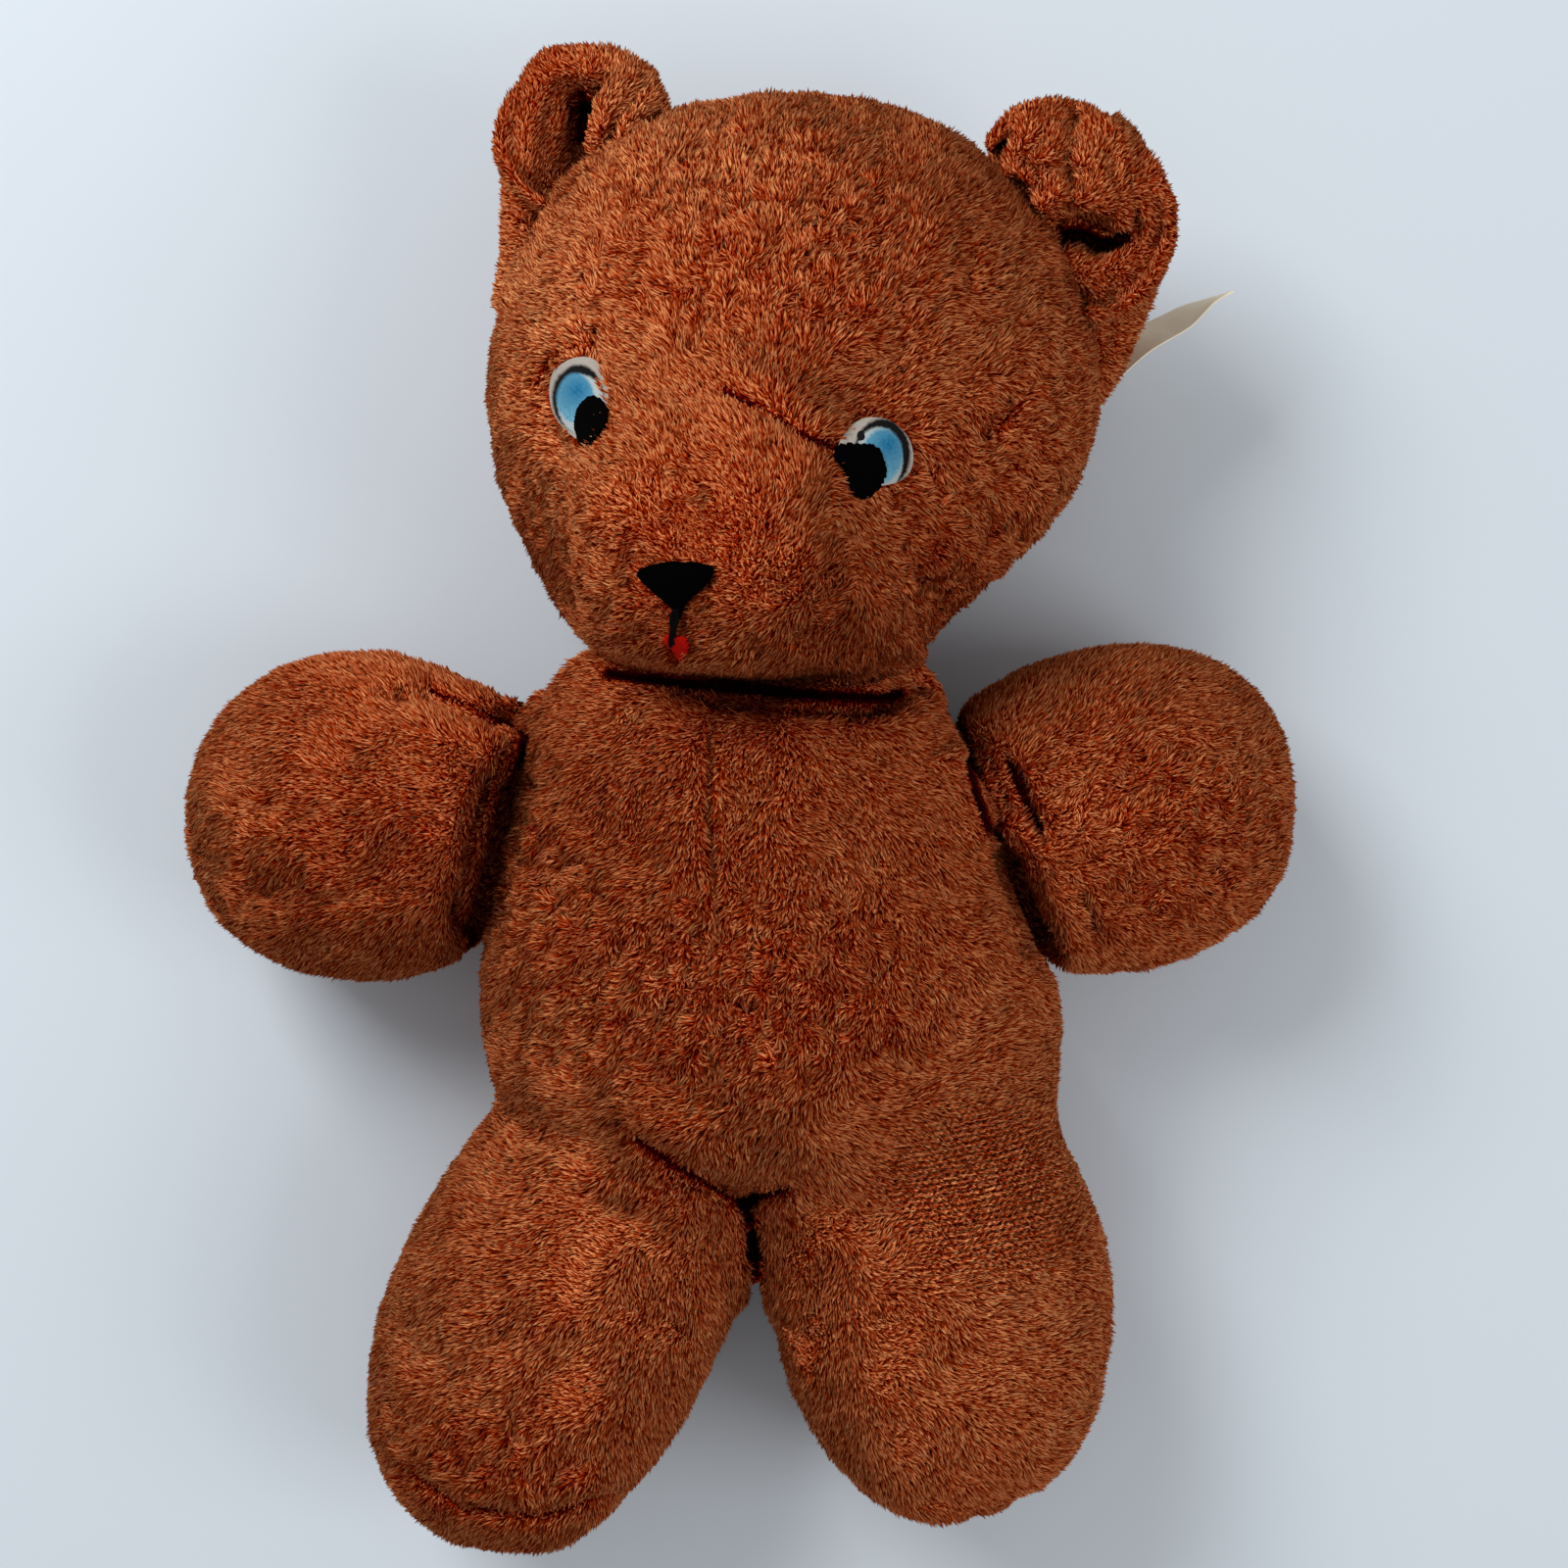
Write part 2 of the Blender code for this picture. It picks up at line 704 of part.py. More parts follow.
def oval(width, length, point=0.0, count=20):
    """An oval that narrows towards its lower end."""
    found = []
    for number in range(count):
        angle = 2.0 * math.pi * number / count
        along = math.sin(angle)
        across = math.cos(angle) * (1.0 + point * along)
        found.append((across * width / 2.0, along * length / 2.0))
    return found


def rounded_triangle(width, length, count=5):
    """Wide above and pointed below, with rounded corners."""
    corner = 0.16 * width
    places = (
        (-width / 2.0 + corner, length / 2.0 - corner, 60.0, 210.0),
        (0.0, -length / 2.0 + corner * 0.6, 210.0, 330.0),
        (width / 2.0 - corner, length / 2.0 - corner, 330.0, 480.0),
    )
    found = []
    for across, along, first, last in places:
        size = corner * 0.6 if across == 0.0 else corner
        for number in range(count):
            angle = math.radians(first + (last - first) * number / (count - 1))
            found.append((across + size * math.cos(angle), along + size * math.sin(angle)))
    return found


for side, across, along, turn, aside in (
    ("left", -0.635, -0.135, 4.0, 2.4),
    ("right", 0.245, -0.31, 38.0, -3.4),
):
    spot = face_point(across, along)
    face_patch(
        "eye_" + side,
        oval(EYE_WIDTH, EYE_LENGTH, 0.14),
        spot,
        turn,
        SEAT_GAP,
        SEAT_GAP + EYE_RAISE,
        FELT_WHITE,
        0.9,
    )
    face_patch(
        "pupil_" + side,
        [(x + aside, y - 3.4) for x, y in oval(PUPIL_WIDTH, PUPIL_LENGTH, 0.0, 16)],
        spot,
        turn,
        EYE_RAISE + 2.0 * SEAT_GAP,
        EYE_RAISE + 2.0 * SEAT_GAP + PUPIL_RAISE,
        FELT_BLACK,
        0.95,
    )
face_patch(
    "nose",
    rounded_triangle(NOSE_WIDTH, NOSE_LENGTH),
    face_point(-0.335, -0.755),
    4.0,
    SEAT_GAP,
    SEAT_GAP + NOSE_RAISE,
    THREAD_BLACK,
    0.6,
)
face_patch(
    "mouth_stitch",
    oval(STITCH_WIDTH, STITCH_LENGTH, 0.0, 12),
    face_point(-0.325, -0.845),
    -6.0,
    SEAT_GAP,
    SEAT_GAP + STITCH_RAISE,
    THREAD_BLACK,
    0.7,
)
face_patch(
    "tongue",
    oval(TONGUE_WIDTH, TONGUE_LENGTH, 0.2, 12),
    face_point(-0.32, -0.905),
    0.0,
    SEAT_GAP,
    SEAT_GAP + TONGUE_RAISE,
    FELT_RED,
    0.9,
)


def label(name):
    """A cloth label sewn into the head seam below the right ear."""
    bm = bmesh.new()
    bmesh.ops.create_grid(bm, x_segments=8, y_segments=3, size=1.0)
    edge = head_edge((0.98, 0.12))
    out = Vector((0.86, 0.50, 0.0)).normalized()
    across = Vector((0.50, -0.80, 0.34)).normalized()
    for vert in bm.verts:
        share = vert.co.x * 0.5 + 0.5
        along = share * (TAG_LENGTH + 5.0) - 5.0
        turn = Matrix.Rotation(math.radians(-38.0) * share, 3, out)
        side = turn @ across
        sag = 3.0 * math.sin(share * math.pi)
        place = edge + out * along + side * vert.co.y * TAG_WIDTH / 2.0
        place.z += sag - 16.0
        vert.co = place * MM
    mesh = bpy.data.meshes.new(name)
    bm.to_mesh(mesh)
    bm.free()
    made = add_piece(name, mesh, LABEL_CREAM, 0.85, 0.0)
    cloth = made.modifiers.new("Cloth", "SOLIDIFY")
    cloth.thickness = TAG_CLOTH * MM
    cloth.offset = 0.0
    boolean(made, "DIFFERENCE", head_clear)
    return made


label("label_tag")


def centre_on_ground():
    """Put the origin below the middle of the bear's outline."""
    bpy.context.view_layer.update()
    graph = bpy.context.evaluated_depsgraph_get()
    low = [1e9, 1e9]
    high = [-1e9, -1e9]
    for thing in bear.objects:
        if thing.type != "MESH":
            continue
        for corner in thing.evaluated_get(graph).bound_box:
            for axis in range(2):
                low[axis] = min(low[axis], corner[axis])
                high[axis] = max(high[axis], corner[axis])
    shift = [-(low[axis] + high[axis]) / 2.0 for axis in range(2)]
    for thing in [*bear.objects, *guides.objects]:
        if thing.type == "MESH":
            thing.data.transform(Matrix.Translation((shift[0], shift[1], 0.0)))
    return low, high, shift


low, high, shift = centre_on_ground()
print("outline mm", [round((high[n] - low[n]) / MM, 2) for n in range(2)])
print("moved mm", [round(value / MM, 3) for value in shift])
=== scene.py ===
# %% [markdown]
# # A worn plush teddy bear
#
# The bear lies on its back and is seen from straight above. It is sewn
# from rust brown plush over loose stuffing, and its pile is matted from
# years of handling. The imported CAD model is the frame: it holds the sizes
# and places, and each soft form is rebuilt here as a skin with real pile.

import math

import bpy
import numpy as np
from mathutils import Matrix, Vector
from mathutils.bvhtree import BVHTree


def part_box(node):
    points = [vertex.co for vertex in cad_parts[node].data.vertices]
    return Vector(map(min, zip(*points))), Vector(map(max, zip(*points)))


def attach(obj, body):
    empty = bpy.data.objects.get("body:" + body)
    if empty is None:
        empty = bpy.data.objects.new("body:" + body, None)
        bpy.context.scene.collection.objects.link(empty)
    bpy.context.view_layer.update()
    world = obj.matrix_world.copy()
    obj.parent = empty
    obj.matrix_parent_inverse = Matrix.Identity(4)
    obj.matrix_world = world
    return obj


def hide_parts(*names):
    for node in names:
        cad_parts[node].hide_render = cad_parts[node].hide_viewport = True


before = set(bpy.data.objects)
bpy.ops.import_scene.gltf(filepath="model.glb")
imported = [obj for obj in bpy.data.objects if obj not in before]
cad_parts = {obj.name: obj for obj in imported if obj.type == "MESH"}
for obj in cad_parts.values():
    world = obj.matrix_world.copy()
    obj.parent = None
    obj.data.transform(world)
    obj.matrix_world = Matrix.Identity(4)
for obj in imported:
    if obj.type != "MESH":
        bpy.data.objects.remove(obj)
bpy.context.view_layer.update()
MM = 0.001

# %% [markdown]
# ## The camera
#
# The photograph looks straight down. The ribs of the knitted backing are
# about 1.7 mm apart on plush like this, which makes one pixel of the 1600
# pixel frame 0.28 mm at the height of the silhouette, 55 mm above the
# ground. The way the arms and the muzzle grow towards the lens puts it
# about 850 mm up. With those numbers any pixel can be turned into a place
# on the bear, and any place into a pixel.

# %% The camera and the view through it
PIXEL = 0.28 * MM
IMAGE_SIDE = 1600
VIEW_X = 12.6 * MM
VIEW_Y = 2.1 * MM
CAMERA_HEIGHT = 850 * MM
SCALE_HEIGHT = 55 * MM
SENSOR = 36.0
FACE_HEIGHT = 90 * MM

scene = bpy.context.scene
camera = bpy.data.objects.new("camera", bpy.data.cameras.new("camera"))
scene.collection.objects.link(camera)
camera.location = (VIEW_X, VIEW_Y, CAMERA_HEIGHT)
camera.data.sensor_width = SENSOR
camera.data.lens = SENSOR * (CAMERA_HEIGHT - SCALE_HEIGHT) / (IMAGE_SIDE * PIXEL)
scene.camera = camera


def pixel_size(height):
    """The size of one pixel at a height above the ground, in metres."""
    return PIXEL * (CAMERA_HEIGHT - height) / (CAMERA_HEIGHT - SCALE_HEIGHT)


def seen(points):
    """Where the camera sees points, as pixels of the photograph."""
    size = pixel_size(points[:, 2])
    across = IMAGE_SIDE / 2 + (points[:, 0] - VIEW_X) / size
    down = IMAGE_SIDE / 2 - (points[:, 1] - VIEW_Y) / size
    return np.stack([across, down], axis=1)


def placed(across, down, height):
    """The place that shows at a pixel and lies at a height above the ground."""
    size = pixel_size(height)
    return Vector((VIEW_X + (across - IMAGE_SIDE / 2) * size,
                   VIEW_Y - (down - IMAGE_SIDE / 2) * size, height))


def under(pixel, skin):
    """The place and the normal of the skin that shows at one pixel."""
    across = (pixel[0] - IMAGE_SIDE / 2) * pixel_size(0.0)
    down = (pixel[1] - IMAGE_SIDE / 2) * pixel_size(0.0)
    ray = Vector((across, -down, -CAMERA_HEIGHT)).normalized()
    place, normal = skin.ray_cast(camera.location, ray)[:2]
    if place is None:
        # the line of sight passes beside the skin: take its nearest place
        place, normal = skin.find_nearest(placed(*pixel, FACE_HEIGHT))[:2]
    return place, normal


def to_line(places, line):
    """The distance of places to a drawn line, and how far along it they lie."""
    line = np.array(line, float)
    best = np.full(len(places), np.inf)
    along = np.zeros(len(places))
    for step in range(len(line) - 1):
        way = line[step + 1] - line[step]
        share = np.clip((places - line[step]) @ way / (way @ way), 0, 1)
        gap = np.linalg.norm(places - line[step] - share[:, None] * way, axis=1)
        nearer = gap < best
        best[nearer] = gap[nearer]
        along[nearer] = (step + share[nearer]) / (len(line) - 1)
    return best, along


print("lens:", round(camera.data.lens, 1), "mm")

# %% [markdown]
# ## Floor and light
#
# The bear lies on a plain pale floor. The light is soft and even, with a
# little more from the upper left, as in the photograph: one large lamp
# there, one weaker lamp opposite, and a white sky that fills the shadows.

# %% Colours, nodes and materials
def colour(code):
    """An sRGB hex code as the linear colour that a shader socket takes."""
    parts = [int(code[i:i + 2], 16) / 255 for i in (1, 3, 5)]
    return [p / 12.92 if p <= 0.04045 else ((p + 0.055) / 1.055) ** 2.4 for p in parts] + [1.0]


def add_node(material, kind, values=None, links=None, **settings):
    """Adds one shader node, with its settings, socket values and links."""
    node = material.node_tree.nodes.new("ShaderNode" + kind)
    for name, value in settings.items():
        setattr(node, name, value)
    for socket, value in (values or {}).items():
        node.inputs[socket].default_value = value
    for socket, output in (links or {}).items():
        material.node_tree.links.new(output, node.inputs[socket])
    return node


def new_material(name, roughness, specular):
    """A material with its one Principled shader."""
    material = bpy.data.materials.new(name)
    material.use_nodes = True
    shader = material.node_tree.nodes["Principled BSDF"]
    shader.inputs["Roughness"].default_value = roughness
    shader.inputs["Specular IOR Level"].default_value = specular
    return material, shader


# %% Floor, lamps and sky
FLOOR_SIDE = 6.0
SKY_LIGHT = 0.42
bpy.ops.object.select_all(action="DESELECT")
bpy.ops.mesh.primitive_plane_add(size=FLOOR_SIDE, location=(0, 0, 0))
floor = bpy.context.object
floor.name = "floor"
floor_paint, floor_shader = new_material("matt_pale_paper", roughness=0.9, specular=0.1)
floor_shader.inputs["Base Color"].default_value = colour("#CDD6DE")
floor.data.materials.append(floor_paint)

# name, place and side in metres, watts
LAMPS = [
    ("upper_left_softbox", (-0.75, 0.85, 1.15), 0.75, 18.6),
    ("right_fill", (1.2, -0.4, 1.3), 0.9, 9.6),
]
for lamp_name, place, side, power in LAMPS:
    lamp = bpy.data.objects.new(lamp_name, bpy.data.lights.new(lamp_name, "AREA"))
    lamp.data.size = side
    lamp.data.energy = power
    lamp.location = place
    lamp.rotation_euler = (-Vector(place)).to_track_quat("-Z", "Y").to_euler()
    scene.collection.objects.link(lamp)

scene.world = bpy.data.worlds.new("white_sky")
scene.world.use_nodes = True
sky = scene.world.node_tree.nodes["Background"]
sky.inputs["Color"].default_value = (1, 1, 1, 1)
sky.inputs["Strength"].default_value = SKY_LIGHT
scene.view_settings.view_transform = "Standard"
print("lamps:", [row[0] for row in LAMPS])

# %% [markdown]
# ## From CAD panels to one skin
#
# The CAD model has the cloth of each form as thick panels. For the looks,
# the panels and the stuffing of one form become one closed skin: copies of
# the nodes are joined, and a voxel remesh gives them even faces. Modelling
# the forms again by hand would only lose the measured sizes.

# %% Helpers for meshes
MERGE_GAP = 0.01 * MM


def only(*pieces):
    """Selects these pieces and nothing else."""
    bpy.ops.object.select_all(action="DESELECT")
    for piece in pieces:
        piece.select_set(True)
    bpy.context.view_layer.objects.active = pieces[0]


def edit(piece, mode="VERT", action="DESELECT"):
    """Opens a piece in edit mode with everything selected or nothing."""
    only(piece)
    bpy.ops.object.mode_set(mode="EDIT")
    bpy.ops.mesh.select_mode(type=mode)
    bpy.ops.mesh.select_all(action=action)


def done():
    """Leaves edit mode."""
    bpy.ops.object.mode_set(mode="OBJECT")


def apply_modifier(piece, kind, **settings):
    """Adds a modifier with its settings and applies it."""
    modifier = piece.modifiers.new(kind.lower(), kind)
    for name, value in settings.items():
        setattr(modifier, name, value)
    only(piece)
    bpy.ops.object.modifier_apply(modifier=modifier.name)


def read_points(piece):
    """All vertex places of a piece."""
    flat = np.empty(3 * len(piece.data.vertices))
    piece.data.vertices.foreach_get("co", flat)
    return flat.reshape(-1, 3)


def write_points(piece, points):
    """Moves all vertices of a piece."""
    piece.data.vertices.foreach_set("co", points.ravel())
    piece.data.update()


def read_normals(piece):
    """All vertex normals of a piece."""
    flat = np.empty(3 * len(piece.data.vertices))
    piece.data.vertex_normals.foreach_get("vector", flat)
    return flat.reshape(-1, 3)


def tree_of(piece):
    """A search tree over the faces of a piece."""
    points = [v.co for v in piece.data.vertices]
    return BVHTree.FromPolygons(points, [p.vertices[:] for p in piece.data.polygons])


def joined_copy(name, nodes):
    """Copies of CAD nodes as one mesh whose doubles are merged."""
    copies = []
    for node in nodes:
        copy = bpy.data.objects.new(name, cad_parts[node].data.copy())
        scene.collection.objects.link(copy)
        copies.append(copy)
    only(*copies)
    bpy.ops.object.join()
    piece = copies[0]
    piece.data.materials.clear()
    edit(piece, action="SELECT")
    bpy.ops.mesh.remove_doubles(threshold=MERGE_GAP)
    done()
    return piece


# %% The skins
CLOTH_VOXEL = 5 * MM
SKIN_GRID = 1.31 * MM
HEAD_GRID = 1.44 * MM

ARM_LAYERS = ("front", "back", "stuffing")
LEG_LAYERS = ("front", "back", "sole", "stuffing")
FORMS = {
    "head": ["head_face", "head_chin", "head_back", "head_stuffing"],
    "body": ["torso_front_left", "torso_front_right", "torso_back", "torso_stuffing"],
    "arm_left": ["arm_left_" + layer for layer in ARM_LAYERS],
    "arm_right": ["arm_right_" + layer for layer in ARM_LAYERS],
}
for leg in ("leg_right_", "leg_left_"):
    FORMS["body"] += [leg + layer for layer in LEG_LAYERS]
SEAMS = {
    form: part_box(form + "_back")[1][2]
    for form in ("head", "torso", "leg_left", "leg_right", "arm_left", "arm_right")
}
SEAMS["body"] = SEAMS["torso"]
skins = {name: joined_copy(name, nodes) for name, nodes in FORMS.items()}
targets = {name: tree_of(skin) for name, skin in skins.items()}
for skin in skins.values():
    apply_modifier(skin, "REMESH", mode="VOXEL", voxel_size=CLOTH_VOXEL)
    print(skin.name, len(skin.data.polygons), "faces of cloth")

# %% [markdown]
# ## Stuffing
#
# A stuffed skin bulges between its seams. That is what a cloth simulation
# with pressure does: each skin starts a little too small, is held along
# the seam between its front and back panels, and is pressed out for twenty
# frames. How far a point may move is capped, so that the sizes stay.

# %% Press the skins out
SHRINK = 1.5 * MM
SEAM_HOLD = 4 * MM
MOST_MOVE = 6 * MM
FRAMES = 20
PRESSURE = 4.0
LEAST_MOVE = 1e-9


def hold_seam(skin, height):
    """Pins the cloth within reach of the seam round a form."""
    group = skin.vertex_groups.new(name="seam")
    near = np.abs(read_points(skin)[:, 2] - height) < SEAM_HOLD
    group.add(np.flatnonzero(near).tolist(), 1.0, "REPLACE")


def add_cloth(skin):
    """Plush over loose stuffing: soft, light, and pressed from inside."""
    cloth = skin.modifiers.new("stuffing", "CLOTH")
    settings = cloth.settings
    settings.quality = 4
    settings.mass = 0.3
    settings.tension_stiffness = 12
    settings.compression_stiffness = 12
    settings.bending_stiffness = 1.5
    settings.use_pressure = True
    settings.uniform_pressure_force = PRESSURE
    settings.effector_weights.gravity = 0
    settings.vertex_group_mass = "seam"
    cloth.point_cache.frame_end = FRAMES


def cap_moves(skin, start):
    """Brings every point that went too far back towards where it was."""
    moves = read_points(skin) - start
    far = np.linalg.norm(moves, axis=1)
    keep = np.minimum(1, MOST_MOVE / np.maximum(far, LEAST_MOVE))
    write_points(skin, start + moves * keep[:, None])
    print(skin.name, "pressed out by", round(far.mean() / MM, 1), "mm")


starts = {}
for name, skin in skins.items():
    edit(skin, action="SELECT")
    bpy.ops.transform.shrink_fatten(value=-SHRINK)
    done()
    hold_seam(skin, SEAMS[name])
    starts[name] = read_points(skin)
    add_cloth(skin)
for number in range(1, FRAMES + 1):
    scene.frame_set(number)
for name, skin in skins.items():
    only(skin)
    bpy.ops.object.modifier_apply(modifier="stuffing")
    cap_moves(skin, starts[name])
    skin.vertex_groups.clear()
scene.frame_set(1)

# %% [markdown]
# ## Fine skins
#
# The pile will stand over each skin, so the skin sits 1.5 mm inside the
# measured surface. A subdivision and a second, fine remesh give the even
# small faces that the pile will grow from. The coarse cloth has joined the
# legs near the crotch, so two thin wedges part them again, and the hips
# are smoothed before the real folds are pressed in.

# %% Subdivide, remesh and set in
PILE_ROOM = 1.5 * MM
GROUND_ROOM = 0.6 * MM
SAMPLES = 3000
SAME_WAY = 0.5
HIP_LINE = [(495, 1130), (768, 1222), (1090, 1150)]
HIP_REACH = 70.0
HIP_SMOOTHING = 60
LEFT_HIP_SHARE = 0.2
LEAST_SHARE = 0.05
SKIN_SMOOTHING = 14
# size, the pixel in front of the middle, height of the middle
CROTCH_WEDGES = [
    ((6.0 * MM, 42 * MM, 240 * MM), (772, 1376), 50 * MM),
    ((3.4 * MM, 27 * MM, 120 * MM), (769, 1272), 114 * MM),
]
CROTCH_TURN = 0.02


def set_in(skin, target):
    """Moves a skin along its normals to lie inside the CAD surface."""
    points = read_points(skin)
    normals = read_normals(skin)
    sample = np.linspace(0, len(points) - 1, SAMPLES).astype(int)
    gaps = []
    for index in sample:
        place, facing = target.find_nearest(Vector(points[index]))[:2]
        if facing.dot(Vector(normals[index])) > SAME_WAY:
            gaps.append((Vector(points[index]) - place).dot(facing))
    shift = -PILE_ROOM - np.median(gaps)
    points += normals * shift
    points[:, 2] = np.maximum(points[:, 2], GROUND_ROOM)
    write_points(skin, points)
    print(skin.name, "was", round(np.median(gaps) / MM, 2), "mm out;", len(points), "points")


def relax_hips(skin):
    """Smooths the skin between the torso and the legs, less at the left hip."""
    points = read_points(skin)
    gap, along = to_line(seen(points), HIP_LINE)
    share = np.exp(-(gap / HIP_REACH) ** 2) * (points[:, 2] > SEAMS["body"] / 2)
    share *= np.where(along < 0.5, LEFT_HIP_SHARE, 1)
    group = skin.vertex_groups.new(name="hips")
    for index in np.flatnonzero(share > LEAST_SHARE):
        group.add([int(index)], float(share[index]), "REPLACE")
    apply_modifier(skin, "SMOOTH", factor=0.5, iterations=HIP_SMOOTHING, vertex_group="hips")
    skin.vertex_groups.clear()


def cut_crotch(skin):
    """Parts the legs with two thin wedges."""
    for size, middle, height in CROTCH_WEDGES:
        only(skin)
        bpy.ops.mesh.primitive_cube_add(size=1)
        wedge = bpy.context.object
        wedge.scale = size
        wedge.location = placed(*middle, height)
        wedge.rotation_euler.z = CROTCH_TURN
        bpy.ops.object.transform_apply(location=True, rotation=True, scale=True)
        apply_modifier(skin, "BOOLEAN", operation="DIFFERENCE", object=wedge)
        bpy.data.objects.remove(wedge)


relax_hips(skins["body"])
for name, skin in skins.items():
    apply_modifier(skin, "SUBSURF", levels=1, render_levels=1)
    if name == "body":
        cut_crotch(skin)
    grid = HEAD_GRID if name == "head" else SKIN_GRID
    apply_modifier(skin, "REMESH", mode="VOXEL", voxel_size=grid)
    apply_modifier(skin, "SMOOTH", factor=0.5, iterations=SKIN_SMOOTHING)
    set_in(skin, targets[name])

# %% [markdown]
# ## Creases and dents
#
# What makes this bear itself is where its cloth is pulled in: the stitches
# of the eyes, the fold above the muzzle, the pleats where an arm joins, and
# the hip. Each is a soft line pressed into a skin, drawn as it is seen in
# the photograph. A negative depth raises a fold. Beside some lines the
# upright walls give way as well, or come out where the number is negative.

